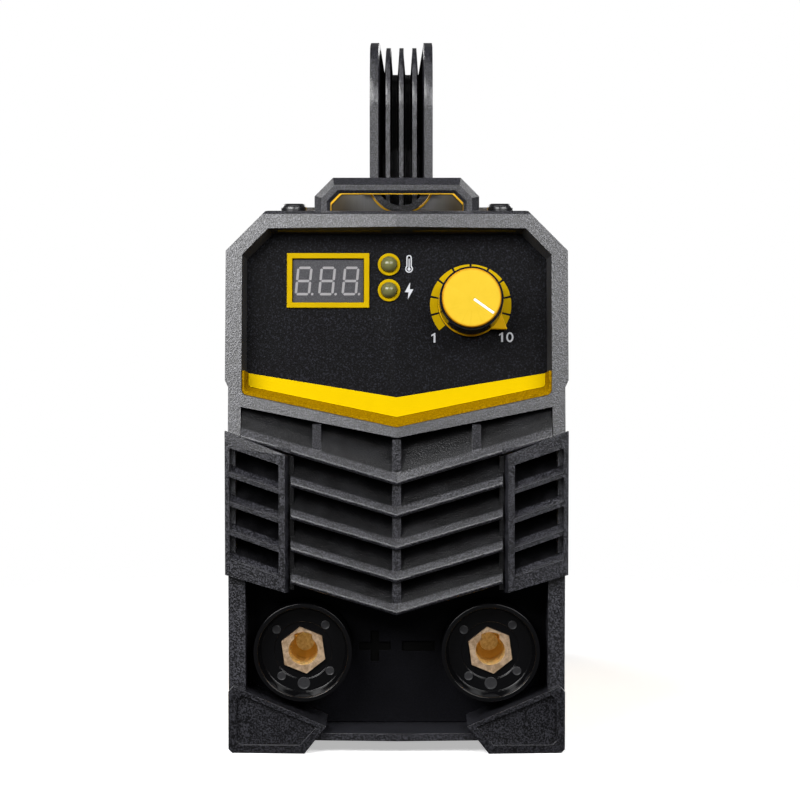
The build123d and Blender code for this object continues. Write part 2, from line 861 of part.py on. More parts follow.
def display_bezel():
    """Flat rectangular surround of the current display."""
    rim = Box(display_w + 2 * display_rim, display_h + 2 * display_rim, display_rim_thick)
    window = Box(display_w, display_h, 3 * display_rim_thick)
    return on_panel(display_x, display_z, display_rim_thick / 2) * (rim - window)


def display_module():
    """Three digit display block with its pins, filling the panel window."""
    body = Box(display_w - 2 * fit, display_h - 2 * fit, board_drop - display_sink,
               align=(Align.CENTER, Align.CENTER, Align.MAX))
    return on_panel(display_x, display_z, -display_sink) * body


def status_lamps():
    """Two domed lamps with flanges and legs."""
    barrel_length = 6.2
    barrel_rise = 1.6         # barrel's end ahead of the panel
    dome_sink = 0.35
    flange_z = -4.6
    barrel = Cylinder(led_r, barrel_length, align=(Align.CENTER, Align.CENTER, Align.MAX))
    barrel = Pos(0, 0, barrel_rise) * barrel
    dome = Pos(0, 0, barrel_rise - dome_sink) * Sphere(led_r)
    flange = Pos(0, 0, flange_z) * Cylinder(led_r + 0.4, 1.0)
    leg = Cylinder(0.3, board_drop + flange_z, align=(Align.CENTER, Align.CENTER, Align.MAX))
    legs = Pos(0, 1.27, flange_z) * leg + Pos(0, -1.27, flange_z) * leg
    lamp = barrel + dome + flange + legs
    return [on_panel(led_x, z) * lamp for z in led_z]


def lamp_rings():
    """Raised ring around each lamp."""
    ring = Cylinder(led_ring_r, led_ring_thick) - Cylinder(led_r + fit / 2, 3 * led_ring_thick)
    return [on_panel(led_x, z, led_ring_thick / 2) * ring for z in led_z]


def control_board():
    """Circuit board behind the panel, on four posts."""
    board = Box(2 * control_board_half, control_board_height, board_thick,
                align=(Align.CENTER, Align.CENTER, Align.MAX))
    board = on_panel(0, control_board_z, -board_drop) * board
    for x, z in board_post_places():
        board -= on_panel(x, z, -board_drop) * Cylinder(1.4, 4 * board_thick)
    return board


def control_board_screws():
    """Four screws through the board into the posts."""
    screw = Pos(0, 0, -board_thick - 0.9) * Cylinder(2.6, 1.8) + Pos(0, 0, 1.2) * Cylinder(1.1, 5.6)
    return [on_panel(x, z, -board_drop) * screw for x, z in board_post_places()]


def control_board_parts():
    """Connector, controller chip and small parts on the rear of the control board."""
    low = -board_drop - board_thick
    places = (
        (-10, -3.5, 14, 10, 2.2),
        (14, 8.5, 20, 6, 9.0),
        (-22, -8.5, 8, 6, 2.0),
        (8, -13.5, 10, 5, 6.5),
    )
    parts = []
    for x, dz, w, h, t in places:
        parts.append(on_panel(x, control_board_z + dz, low - t / 2) * Box(w, h, t))
    return parts


# ---------------------------------------------------------------- knob group
def knob_place(rise=0.0):
    """Location on the knob's axis."""
    return on_panel(knob_x, knob_z, rise)


def potentiometer_body():
    """Rotary control body with its threaded bushing through the panel."""
    up = (Align.CENTER, Align.CENTER, Align.MIN)
    down = (Align.CENTER, Align.CENTER, Align.MAX)
    body = Cylinder(pot_r, pot_depth, align=down)
    bushing = Cylinder(bushing_r, panel_thick + bushing_length, align=up)
    bore = Cylinder(shaft_r + running, shaft_length + past, align=up)
    return knob_place(-panel_thick) * (body + bushing - Pos(0, 0, -shaft_tail - 0.5) * bore)


def potentiometer_nut():
    """Washer and hexagon nut on the bushing."""
    hole = Cylinder(bushing_r + running, 10)
    washer = Pos(0, 0, 0.3) * Cylinder(6.0, 0.5)
    nut = Pos(0, 0, 0.6) * extrude(RegularPolygon(5.0, 6, major_radius=False), 2.2)
    return knob_place() * (washer + nut - hole)


def potentiometer_shaft():
    """Shaft of the rotary control, turning with the knob."""
    shaft = Cylinder(shaft_r, shaft_length, align=(Align.CENTER, Align.CENTER, Align.MIN))
    return knob_place(-panel_thick - shaft_tail) * shaft


def knob_collet():
    """Split brass collet that grips the shaft inside the knob."""
    ring = Cylinder(collet_r, collet_length) - Cylinder(shaft_r + running, 2 * collet_length)
    ring -= Pos(collet_r - 1, 0, 0) * Box(collet_r - 1, 0.8, 2 * collet_length)
    return knob_place(knob_gap + collet_rise + collet_length / 2) * ring


def knob_body():
    """Black knob: slightly tapered drum, hollow underneath, standing on its pointer ring."""
    up = (Align.CENTER, Align.CENTER, Align.MIN)
    drum = Cone(knob_r, knob_r - knob_taper, knob_height - cap_thick, align=up)
    drum -= Cylinder(nut_room_r, collet_rise, align=up)
    drum -= Pos(0, 0, collet_rise - 0.1) * Cylinder(collet_r + running, collet_length + 0.1, align=up)
    drum -= Cylinder(knob_r + past, pointer_thick + 0.1, align=up)
    return knob_place(knob_gap) * drum


def knob_pointer():
    """Pointer ring under the knob with a triangular nose that reads the scale."""
    disc = Circle(knob_r + pointer_lip)
    nose = make_face(Polyline(
        (nose_root, -nose_half),
        (knob_r + nose_length, 0),
        (nose_root, nose_half),
        close=True,
    ))
    ring = extrude(disc + Rot(0, 0, nose_angle) * nose, pointer_thick)
    return knob_place(knob_gap) * (ring - Cylinder(nut_room_r, 3 * pointer_thick))


def knob_cap():
    """Bright cap with a bevelled edge and an engraved index line."""
    cap = Cylinder(cap_r, cap_thick, align=(Align.CENTER, Align.CENTER, Align.MIN))
    cap = chamfer(cap.edges().group_by(Axis.Z)[-1], 0.3)
    length = cap_r - 1.4
    line = Rot(0, 0, nose_angle) * Pos(length / 2 + 0.8, 0, cap_thick) * Box(length, index_width, 0.5)
    return knob_place(knob_gap + knob_height - cap_thick) * (cap - line)


# ---------------------------------------------------------------- output sockets
def socket_panel():
    """Smooth plate at the back of the socket recess, with sunk plus and minus marks."""
    y0, y1 = socket_floor_y, socket_floor_y + socket_panel_thick
    x = cavity_half - fit
    top = wing_bottom[0] + 4.2
    panel = block(-x, x, y0, y1, bar_bottom + wall + fit, top)
    for side in (1, -1):
        panel -= rod_y(side * socket_x, socket_z, spigot_r + fit, y0 - past, y1 + past)
    plus_x, minus_x, mark_z = -7.1, 6.95, socket_z - 0.2
    for x, z_half, x_half in ((plus_x, 1.35, 5.1), (plus_x, 5.0, 1.35), (minus_x, 1.6, 5.3)):
        panel -= block(x - x_half, x + x_half, y0 - past, y0 + mark_sink, mark_z - z_half, mark_z + z_half)
    return panel


def socket_housing(x):
    """Round insulating shell of one output socket, stepped down to the brass insert."""
    y_rim = socket_floor_y - socket_length
    y_face = y_rim + socket_well
    y_seat = socket_floor_y
    y_end = y_seat + socket_panel_thick + 2
    shell = rod_y(x, socket_z, socket_r, y_rim, y_seat)
    shell += rod_y(x, socket_z, spigot_r, y_seat, y_end)
    plane = Plane((x, y_face, socket_z), x_dir=(1, 0, 0), z_dir=(0, -1, 0))
    shell -= plane * Cone(socket_floor_r, socket_r - socket_rim, socket_well + 0.01,
                          align=(Align.CENTER, Align.CENTER, Align.MIN))
    shell -= rod_y(x, socket_z, hex_flats / math.sqrt(3) + 1.7, y_face - past, y_face + socket_step)
    shell -= hex_y(x, socket_z, hex_flats + 2 * running, y_face - past, y_face + hex_length - fit, hex_turn)
    return shell - rod_y(x, socket_z, tail_r + 0.1, y_face - past, y_end + past)


def socket_contact(x):
    """Brass insert of one output socket: hexagon nose, keyed bore and a threaded tail."""
    y_face = contact_face_y
    y_cone = y_face + bore_depth - bore_tip
    nose = hex_y(x, socket_z, hex_flats, y_face, y_face + hex_length, hex_turn)
    tail = rod_y(x, socket_z, tail_r, y_face + hex_length, contact_end_y)
    stud = rod_y(x, socket_z, stud_r, contact_end_y, contact_end_y + stud_length)
    body = nose + tail + stud
    body -= rod_y(x, socket_z, bore_r, y_face - past, y_cone)
    plane = Plane((x, y_cone, socket_z), x_dir=(1, 0, 0), z_dir=(0, 1, 0))
    body -= plane * Cone(bore_r, bore_tip_r, bore_tip, align=(Align.CENTER, Align.CENTER, Align.MIN))
    key_r = bore_r + key_depth
    half_key = key_width / 2
    key = block(x - half_key, x + half_key, y_face - past, y_face + key_length, socket_z, socket_z + key_r)
    return body - (key & rod_y(x, socket_z, key_r, y_face - past, y_face + key_length))


def socket_fastener(x):
    """Washer and nut that clamp one socket and its bus bar behind the panel."""
    y_washer = contact_end_y + strap_thick
    y_nut = y_washer + 1.6
    hole = rod_y(x, socket_z, stud_r + running, contact_end_y, contact_end_y + 2 * stud_length)
    washer = rod_y(x, socket_z, 8.0, y_washer, y_nut)
    nut = hex_y(x, socket_z, 13.0, y_nut, y_nut + 6.0)
    return washer + nut - hole


def bus_bar(side):
    """Copper strap from one socket stud back to the power board."""
    x = side * socket_x
    y0 = contact_end_y
    x0, x1 = x - strap_half, x + strap_half
    foot_back = board_front + strap_foot + 0.133 * lane_spare
    strap = rod_y(x, socket_z, spigot_r, y0, y0 + strap_thick)
    strap += block(x0, x1, y0, y0 + strap_thick, board_z, socket_z)
    strap += block(x0, x1, y0, foot_back, board_z, board_z + strap_thick)
    return strap - rod_y(x, socket_z, stud_r + running, y0 - past, y0 + strap_thick + past)


# ---------------------------------------------------------------- case
def cover_shell():
    """Bright sheet cover: one bent sheet over the top and both sides, with side vents."""
    outer_diag = diag - (wall + fit) * root2
    outer = both(case_outline(cover_half, cover_top, outer_diag, pan_z))
    inner_diag = outer_diag - sheet * root2
    inner = both(case_outline(cover_half - sheet, cover_top - sheet, inner_diag, pan_z - past))
    cover = plate(outer, cover_front, cover_back) - plate(inner, cover_front - past, cover_back + past)
    for y in side_vent_places():
        for row in range(vent_rows):
            z = vent_z + row * vent_pitch_z
            slot = [(y, z), (y + vent_width, z), (y + vent_width + vent_slant, z + vent_height),
                    (y + vent_slant, z + vent_height)]
            cover -= side_prism(slot, -width, width)
    for x, y in top_screw_places():
        cover -= rod_z(x, y, screw_r + 0.1, cover_top - 2 * sheet, cover_top + past)
    for y, z in side_screw_places():
        cover -= rod_x(y, z, screw_r + 0.1, -width, width)
    for x, y in handle_screw_places():
        cover -= rod_z(x, y, 2.6, cover_top - 2 * sheet, cover_top + past)
    return cover


def side_vent_places():
    """Front corner of each slanted slot along the cover's sides."""
    start = -(vent_count - 1) * vent_pitch_y / 2 - 6
    return [start + i * vent_pitch_y for i in range(vent_count)]


def side_screw_places():
    """Y, Z of the screws through the cover's sides into the base pan."""
    reach = depth / 2 - frame_depth - 14.5
    return [(s * reach, pan_z + pan_flange / 2) for s in (-1, 0, 1)]


def base_pan():
    """Bent steel tray that carries the power board, with side flanges inside the cover."""
    x = cover_half - sheet - fit / 2
    pan = block(-x, x, cover_front, cover_back, pan_z, pan_top)
    pan += both_boxes(x - sheet, x, cover_front, cover_back, pan_z, pan_z + pan_flange)
    for y, z in side_screw_places():
        pan -= rod_x(y, z, 1.6, -width, width)
    for x_s, y_s in board_places():
        pan -= rod_z(x_s, y_s, 1.6, pan_z - past, pan_top + past)
    return pan


def side_screws():
    """Pan head screws that hold the cover to the base pan."""
    screws = []
    for y, z in side_screw_places():
        head = rod_x(y, z, 3.4, cover_half, cover_half + 1.9)
        shank = rod_x(y, z, 1.5, cover_half - 5, cover_half)
        screws += two(head + shank)
    return screws


def top_screws():
    """Cross recessed pan head screws on top of the front frame."""
    head_r, head_height = 4.1, 2.3
    screws = []
    for x, y in top_screw_places():
        head = rod_z(x, y, head_r, body_height, body_height + head_height)
        head = fillet(head.edges().group_by(Axis.Z)[-1], 1.7)
        head -= Pos(x, y, body_height + head_height) * (Box(4.6, 0.9, 2.0) + Box(0.9, 4.6, 2.0))
        screws.append(head + rod_z(x, y, screw_r, cover_top - 4, body_height))
    return screws


# ---------------------------------------------------------------- handle
def handle_path():
    """Inner line of the handle: front leg, tangent corner, gently crowned top, corner, rear leg."""
    inner_y = leg_front_y + handle_thick
    r = handle_corner - handle_thick
    top = handle_top - handle_thick
    span = -inner_y - r
    crown_r = (span * span + handle_crown * handle_crown) / (2 * handle_crown)
    crown_z = top - crown_r
    base = leg_end_z - leg_end_r
    corner_z = crown_z + math.sqrt((crown_r - r) ** 2 - span * span)
    angle = math.atan2(corner_z - crown_z, span)

    def at(s, y, z):
        return (handle_x, s * y, z)

    def corner_point(s, a):
        return at(s, inner_y + r - r * math.cos(a), corner_z + r * math.sin(a))

    touch = [corner_point(s, angle) for s in (1, -1)]
    middle = [corner_point(s, angle / 2) for s in (1, -1)]
    return Wire([
        Edge.make_line(at(1, inner_y, base), at(1, inner_y, corner_z)),
        Edge.make_three_point_arc(at(1, inner_y, corner_z), middle[0], touch[0]),
        Edge.make_three_point_arc(touch[0], at(1, 0, top), touch[1]),
        Edge.make_three_point_arc(touch[1], middle[1], at(-1, inner_y, corner_z)),
        Edge.make_line(at(-1, inner_y, corner_z), at(-1, inner_y, base)),
    ])


def comb_section():
    """Handle section from the inner web (0) outwards: two flanges and three ribs between them."""
    w = handle_width / 2
    tip = handle_thick - rib_low
    points = [(-w, 0), (-w, handle_thick), (-w + flange_tip, handle_thick), (-w + flange_root, handle_web)]
    for i in (-1, 0, 1):
        x = i * rib_pitch
        points += [
            (x - rib_root / 2, handle_web),
            (x - rib_tip / 2, tip),
            (x + rib_tip / 2, tip),
            (x + rib_root / 2, handle_web),
        ]
    return points + [(w - flange_root, handle_web), (w - flange_tip, handle_thick), (w, handle_thick), (w, 0)]


def handle():
    """Black handle: a comb section of ribs on a smooth inner web, swept along the arch."""
    inner_y = leg_front_y + handle_thick
    plane = Plane((handle_x, inner_y, leg_end_z - leg_end_r), x_dir=(1, 0, 0), z_dir=(0, 0, -1))
    section = plane * make_face(Polyline(*comb_section(), close=True))
    arch = sweep(section, path=handle_path())
    for s in (1, -1):
        arch = finish_leg(arch, s)
    return arch


def finish_leg(arch, s):
    """Round one leg end, close its channel with a rim and give it a screw boss."""
    inner = s * (leg_front_y + handle_thick)
    y0, y1 = sorted((s * leg_front_y, inner))
    low = leg_end_z - leg_end_r
    x0, x1 = handle_x - handle_width, handle_x + handle_width
    corner_cut = block(x0, x1, y0 - past, y1 + past, low - past, leg_end_z)
    corner_cut -= rod_y(handle_x, leg_end_z, leg_end_r, y0 - 2 * past, y1 + 2 * past)
    ring = rod_y(handle_x, leg_end_z, leg_end_r, y0, y1)
    ring -= rod_y(handle_x, leg_end_z, leg_end_r - leg_rim, y0 - past, y1 + past)
    ring &= block(x0, x1, y0 - past, y1 + past, low - past, leg_end_z)
    b0, b1 = sorted((inner, inner - s * boss_depth))
    boss = rod_y(handle_x, leg_end_z, leg_end_r, b0, b1)
    arch = arch - corner_cut + ring + boss
    for x, y in handle_screw_places():
        arch -= rod_z(x, y, 1.7, low - past, low + 13)
    return arch


def handle_screw_places():
    """X, Y of the two screws up into each handle leg."""
    y = leg_front_y + handle_thick - boss_depth / 2
    return [(handle_x + dx, s * y) for dx in (-4.2, 4.2) for s in (1, -1)]


def mount_outline(inset, low):
    """Outline of a handle mount, drawn in by inset, down to height low."""
    x = mount_half - inset
    top = mount_top - inset
    return both([(0, top), (x - mount_corner, top), (x, top - mount_corner), (x, low), (0, low)])


def handle_mount(s):
    """Bright block on the cover that seats one leg, notched around its rounded end."""
    y_front = plate_y - 0.6
    y_block = plate_y + plate_thick + 0.1
    y_end = leg_front_y + mount_depth
    seat = plate(mount_outline(0, cover_top), y_block, y_end)
    lip = plate(mount_outline(0, cover_top), y_front, y_block)
    lip -= plate(mount_outline(mount_lip, cover_top - past), y_front - past, y_block + past)
    notch_r = leg_end_r + fit
    notch = rod_y(handle_x, leg_end_z, notch_r, y_front - past, y_end + past)
    notch += block(handle_x - notch_r, handle_x + notch_r, y_front - past, y_end + past,
                   leg_end_z, leg_end_z + notch_r)
    rim = rod_y(handle_x, leg_end_z, notch_r + mount_rim, y_front, y_block)
    rim &= block(-width, width, y_front - past, y_end, cover_top, mount_top)
    solid = seat + lip + rim - notch
    x0, x1 = handle_x - notch_r, handle_x + notch_r
    y_strap = leg_front_y - fit
    bridge = block(x0 - 2, x1 + 2, y_strap - 1.2, y_block, mount_top - mount_lip, mount_top)
    solid += bridge - block(x0, x1, y_strap, y_end, cover_top, mount_top + past)
    for x, y in handle_screw_places():
        solid -= rod_z(x, y, 2.2, cover_top - past, leg_end_z)
    return solid if s > 0 else mirror(solid, about=Plane.XZ)


def handle_plate(s):
    """Satin steel plate let into the front of a handle mount, in two halves beside the leg."""
    solid = plate(mount_outline(mount_lip + 0.1, cover_top + 0.1), plate_y, plate_y + plate_thick)
    notch_r = leg_end_r + fit + mount_rim + 0.1
    solid -= rod_y(handle_x, leg_end_z, notch_r, plate_y - past, plate_y + plate_thick + past)
    return solid if s > 0 else mirror(solid, about=Plane.XZ)


def handle_screws():
    """Four screws from inside the cover up into the handle legs."""
    z_seat = cover_top - sheet
    screws = []
    for x, y in handle_screw_places():
        head = rod_z(x, y, 4.0, z_seat - 2.6, z_seat)
        screws.append(head + rod_z(x, y, 1.6, z_seat, leg_end_z - leg_end_r + 11))
    return screws


# ---------------------------------------------------------------- rear
def rear_frame():
    """Moulded rear surround with feet and a strap bracket."""
    y0 = back - rear_frame_depth
    frame = plate(frame_outline(), y0, back - 1.0)
    frame -= plate(frame_cavity(), y0 - past, rear_panel_y)
    mouth_half = cavity_half - rear_lip
    mouth_diag = diag - (wall + rear_lip) * root2
    mouth = both(case_outline(mouth_half, cavity_top - rear_lip, mouth_diag, bar_top + 1.0))
    frame -= plate(mouth, rear_panel_y - past, back + past)
    foot = plate(foot_outline(), y0, back) - plate(foot_outline(foot_rim), back - foot_facet, back + past)
    frame += foot + mirrored(foot) - plate(foot_hollow(), y0 - past, rear_panel_y)
    frame += mirror(bracket(), about=Plane.XZ)
    return frame - guard_room()


def guard_room():
    """Space behind the rear panel for the finger guard and the heads of the fan screws."""
    y0, y1 = rear_panel_y, back + past
    room = rod_y(0, fan_z, fan_bore + guard_past + guard_wire_r + fit, y0, y1)
    for x, z in fan_hole_places():
        room += rod_y(x, z, screw_head_r + fit, y0, y1)
    return room


def rear_panel():
    """Flat plate across the rear with the fan opening, switch window and cable entry."""
    y0, y1 = rear_panel_y - rear_panel_thick, rear_panel_y
    edge_diag = diag - (wall + fit) * root2
    outline = both(case_outline(cavity_half - fit, cavity_top - fit, edge_diag, bar_bottom + wall + fit))
    panel = plate(outline, y0, y1)
    panel -= rod_y(0, fan_z, fan_bore, y0 - past, y1 + past)
    for x, z in fan_hole_places():
        panel -= rod_y(x, z, screw_r + 0.3, y0 - past, y1 + past)
    w, h = switch_w / 2, switch_h / 2
    panel -= block(switch_x - w, switch_x + w, y0 - past, y1 + past, switch_z - h, switch_z + h)
    panel -= rod_y(gland_x, gland_z, gland_r + fit, y0 - past, y1 + past)
    return panel - rod_y(0, earth_z, earth_r + fit, y0 - past, y1 + past)


def fan_hole_places():
    """X, Z of the fan's four corner screws."""
    p = fan_size / 2 - fan_hole_inset
    return [(x, fan_z + z) for x in (-p, p) for z in (-p, p)]


def about_fan(degrees):
    """Turn about the fan's axis."""
    return Pos(0, 0, fan_z) * Rot(0, degrees, 0) * Pos(0, 0, -fan_z)


def fan_frame():
    """Square fan body with its round duct, motor seat and four struts."""
    h = fan_size / 2
    duct = block(-h, h, fan_front, fan_back, fan_z - h, fan_z + h)
    duct -= rod_y(0, fan_z, fan_bore, fan_front - past, fan_back + past)
    for x, z in fan_hole_places():
        duct -= rod_y(x, z, screw_r + 0.2, fan_front - past, fan_back + past)
    y1 = fan_back - 0.5
    y0 = y1 - strut_thick
    strut = block(0, fan_bore + 1, y0, y1, fan_z - strut_half, fan_z + strut_half)
    for turn in (45, 135, 225, 315):
        duct += about_fan(turn) * strut
    seat = rod_y(0, fan_z, hub_r - 1, y0, y1)
    bearing = rod_y(0, fan_z, bearing_r, fan_front + 8, y1)
    return duct + seat + bearing - rod_y(0, fan_z, fan_shaft_r + running, fan_front, fan_back - 2.0)


def fan_rotor():
    """Hub cup with pitched blades on its shaft."""
    y0, y1 = fan_front + 2.0, fan_back - 4.5
    cup_wall = 1.6
    hub = rod_y(0, fan_z, hub_r, y0, y1) - rod_y(0, fan_z, hub_r - cup_wall, y0 + 1.8, y1 + past)
    shaft = rod_y(0, fan_z, fan_shaft_r, y0, fan_back - 3.5)
    reach = rod_y(0, fan_z, rotor_r, y0, y1) - rod_y(0, fan_z, hub_r - cup_wall / 2, y0 - past, y1 + past)
    span = rotor_r + 4 - hub_r + cup_wall
    blade = Pos(hub_r - cup_wall + span / 2, 0, 0) * Rot(blade_pitch, 0, 0) * Box(span, 30, 1.6)
    blade = Pos(0, (y0 + y1) / 2, fan_z) * blade
    rotor = hub + shaft
    for i in range(blade_count):
        rotor += (about_fan(i * 360 / blade_count) * blade) & reach
    return rotor


def fan_motor():
    """Wound stator on the bearing tube inside the rotor cup."""
    stator = rod_y(0, fan_z, hub_r - 3.4, fan_front + 9, fan_back - 5.5)
    return stator - rod_y(0, fan_z, bearing_r, fan_front, fan_back)


def fan_guard():
    """Wire finger guard: concentric rings on two crossed bars with screw eyes."""
    r = guard_wire_r
    y = rear_panel_y + r
    outer = fan_bore + guard_past
    bar_length = 2 * (fan_size / 2 - fan_hole_inset) * root2 - 6
    guard = None
    for turn in (45, -45):
        bar = Pos(0, y, fan_z) * Rot(0, turn, 0) * Rot(0, 90, 0) * Cylinder(r, bar_length)
        guard = bar if guard is None else guard + bar
    for i in range(guard_rings):
        ring_r = guard_inner + (outer - guard_inner) * i / (guard_rings - 1)
        guard += Pos(0, y + 2 * r - 0.2, fan_z) * Rot(90, 0, 0) * Torus(ring_r, r)
    for x, z in fan_hole_places():
        guard += Pos(x, y, z) * Rot(90, 0, 0) * Torus(3.2, r)
    return guard


def fan_screws():
    """Four screws through guard, panel and fan, with their nuts inside the case."""
    y_head = rear_panel_y + 2 * guard_wire_r
    y_nut = fan_front - 3.0
    fasteners = []
    for x, z in fan_hole_places():
        head = rod_y(x, z, screw_head_r, y_head, y_head + 2.4)
        fasteners.append(head + rod_y(x, z, screw_r, y_nut, y_head))
        hole = rod_y(x, z, screw_r + running, y_nut - past, fan_back)
        fasteners.append(hex_y(x, z, 7.0, y_nut, fan_front) - hole)
    return fasteners


def switch_housing():
    """Power switch body with a bezel, open at the rear face for the rocker."""
    w, h = switch_w / 2, switch_h / 2
    y_face = rear_panel_y
    side = w - fit
    rise = h - fit
    body = block(switch_x - side, switch_x + side, y_face - switch_depth, y_face,
                 switch_z - rise, switch_z + rise)
    side = w + switch_bezel
    rise = h + switch_bezel
    bezel = block(switch_x - side, switch_x + side, y_face, y_face + 2.0, switch_z - rise, switch_z + rise)
    room_side = w - 3.0
    room_rise = h - 2.6
    room = block(switch_x - room_side, switch_x + room_side, y_face - 10.5, y_face + 3,
                 switch_z - room_rise, switch_z + room_rise)
    pin_side = w - 1.2
    pin = rod_x(y_face - rocker_pin_set, switch_z, rocker_pin_r + running,
                switch_x - pin_side, switch_x + pin_side)
    return body + bezel - room - pin


def power_rocker():
    """Rocker key on its pivot pin, resting tilted with its upper end pressed in."""
    w, h = switch_w / 2 - 3.3, switch_h / 2 - 3.2
    y_pin = rear_panel_y - rocker_pin_set
    y_low, y_side, y_end, y_middle = y_pin - 3.6, y_pin + 2.5, y_pin + 4.2, y_pin + 3.2
    outline = [
        (y_low, switch_z - h + 3.0),
        (y_low, switch_z + h - 3.0),
        (y_side, switch_z + h),
        (y_end, switch_z + h),
        (y_middle, switch_z),
        (y_end, switch_z - h),
        (y_side, switch_z - h),
    ]
    pin_side = switch_w / 2 - 1.4
    key = side_prism(outline, switch_x - w, switch_x + w)
    key += rod_x(y_pin, switch_z, rocker_pin_r, switch_x - pin_side, switch_x + pin_side)
    tilt = Pos(0, y_pin, switch_z) * Rot(rocker_rest, 0, 0) * Pos(0, -y_pin, -switch_z)
    return tilt * key


def switch_terminals():
    """Four spade terminals behind the power switch."""
    y = rear_panel_y - switch_depth
    places = [(switch_x + dx, switch_z + dz) for dx in (-5, 5) for dz in (-7, 7)]
    return [block(x - 0.4, x + 0.4, y - 8, y, z - 3.1, z + 3.1) for x, z in places]


def gland_body():
    """Cable gland body: hexagon collar outside, thread through the panel."""
    y = rear_panel_y
    body = hex_y(gland_x, gland_z, 24.0, y, y + gland_collar)
    body += rod_y(gland_x, gland_z, gland_r, y - rear_panel_thick - 9, y)
    body += rod_y(gland_x, gland_z, gland_r, y + gland_collar, y + gland_collar + gland_stub)
    return body - rod_y(gland_x, gland_z, gland_bore + 0.8, y - 20, y + 20)


def gland_cap():
    """Clamping nut of the cable gland."""
    y = rear_panel_y + gland_collar + 0.1
    y_round = y + 3.4
    y_end = back - 0.5
    cap = hex_y(gland_x, gland_z, 23.0, y, y_round)
    cap += rod_y(gland_x, gland_z, gland_r + 0.9, y_round, y_end)
    cap -= rod_y(gland_x, gland_z, gland_r + running, y - past, y + gland_stub + 0.1)
    return cap - rod_y(gland_x, gland_z, gland_bore, y - past, y_end + past)


def gland_nut():
    """Lock nut behind the panel."""
    y = rear_panel_y - rear_panel_thick
    nut = hex_y(gland_x, gland_z, 25.0, y - 4.5, y)
    return nut - rod_y(gland_x, gland_z, gland_r + running, y - 4.5 - past, y + past)


def earth_terminal():
    """Earth stud with washers and a nut on the rear panel."""
    y = rear_panel_y
    y_inner = y - rear_panel_thick
    stud = rod_y(0, earth_z, earth_r, y_inner - 6, y + 9.0)
    washer = rod_y(0, earth_z, 2 * earth_r, y, y + 1.2)
    nut = hex_y(0, earth_z, 10.0, y + 1.2, y + 5.6)
    inner = hex_y(0, earth_z, 10.0, y_inner - 4, y_inner)
    return stud + washer + nut + inner


# ---------------------------------------------------------------- power electronics
def board_places():
    """X, Y of the six stand-offs under the power board."""
    x = board_half - 4.0
    rows = (board_front + 4.0, (board_front + board_back) / 2, board_back - 4.0)
    return [(s * x, y) for s in (-1, 1) for y in rows]


def power_board():
    """Main circuit board above the base pan."""
    board = block(-board_half, board_half, board_front, board_back, board_z - board_thick, board_z)
    for x, y in board_places():
        board -= rod_z(x, y, 1.6, pan_top, board_z + past)
    return board


def board_standoffs():
    """Six hexagon stand-offs between pan and board."""
    hexagon = extrude(RegularPolygon(3.5, 6, major_radius=False), standoff)
    return [Pos(x, y, pan_top) * (hexagon - Cylinder(1.3, 3 * standoff)) for x, y in board_places()]


def board_screws():
    """Screws from above and below into the stand-offs."""
    screws = []
    for x, y in board_places():
        upper = rod_z(x, y, 2.8, board_z, board_z + 1.8) + rod_z(x, y, 1.2, board_z - 5, board_z)
        lower = rod_z(x, y, 2.8, pan_z - 1.4, pan_z) + rod_z(x, y, 1.2, pan_z, pan_top + 3)
        screws += [upper, lower]
    return screws


def heat_sink(side):
    """Finned aluminium extrusion along one side of the power board, on two feet."""
    y0, y1 = sink_y, sink_y + sink_length
    z0 = board_z + sink_lift
    x_in = sink_x - sink_width
    x_base = x_in + sink_base
    sink = block(x_in, x_base, y0, y1, z0, z0 + sink_height)
    for i in range(fin_count):
        z = z0 + i * (sink_height - fin_thick) / (fin_count - 1)
        sink += block(x_base - 0.5, sink_x, y0, y1, z, z + fin_thick)
    for y in (y0 + sink_base, y1 - 2 * sink_base):
        sink += block(x_in, x_base, y, y + sink_base, board_z, z0 + 1)
    return sink if side > 0 else mirrored(sink)


def power_devices(side):
    """Row of flat power devices clamped to a heat sink's inner face, each on three legs."""
    x = sink_x - sink_width
    z = board_z + 9
    pitch = (sink_length - 2.4) / device_count
    devices = []
    for i in range(device_count):
        y = sink_y + 1.2 + i * pitch + (pitch - device_width) / 2
        device = block(x - device_thick, x, y, y + device_width, z, z + device_height)
        middle = y + device_width / 2
        for k in (-5.4, 0, 5.4):
            device += block(x - 3.2, x - 2.6, middle + k - 0.6, middle + k + 0.6, board_z, z)
        devices.append(device if side > 0 else mirrored(device))
    return devices


def transformer_core():
    """Ferrite core of the main transformer: two E halves around the winding."""
    y0, y1 = transformer_y, transformer_y + core_depth
    z0 = board_z + 4
    core = block(-core_half, core_half, y0, y1, z0, z0 + core_height)
    x0, x1 = window_half
    return core - both_boxes(x0, x1, y0 - past, y1 + past, z0 + core_foot, z0 + core_height - core_foot)


def transformer_winding():
    """Copper winding and bobbin around the centre leg of the core."""
    y0, y1 = transformer_y, transformer_y + core_depth
    z0 = board_z + 4
    z_low = z0 + core_foot + 0.3
    x = window_half[1] - fit
    coil = block(-x, x, y0 - coil_past, y1 + coil_past, z_low, z0 + core_height - core_foot - 0.3)
    coil = fillet(coil.edges().filter_by(Axis.Z), 5)
    leg = window_half[0] + fit
    coil -= block(-leg, leg, y0 - fit, y1 + fit, z0, z0 + core_height)
    for y in (y0 - coil_past + 0.5, y1 + coil_past - 3.5):
        coil += block(-12, 12, y, y + 3.0, board_z, z_low + 0.2)
    return coil


def output_choke():
    """Toroidal output choke standing on the board behind the sockets."""
    y = board_front + choke_front + choke_width / 2
    ring = Cylinder(choke_r, choke_width) - Cylinder(choke_hole_r, 2 * choke_width)
    return Pos(0, y, board_z + choke_r) * Rot(90, 0, 0) * ring


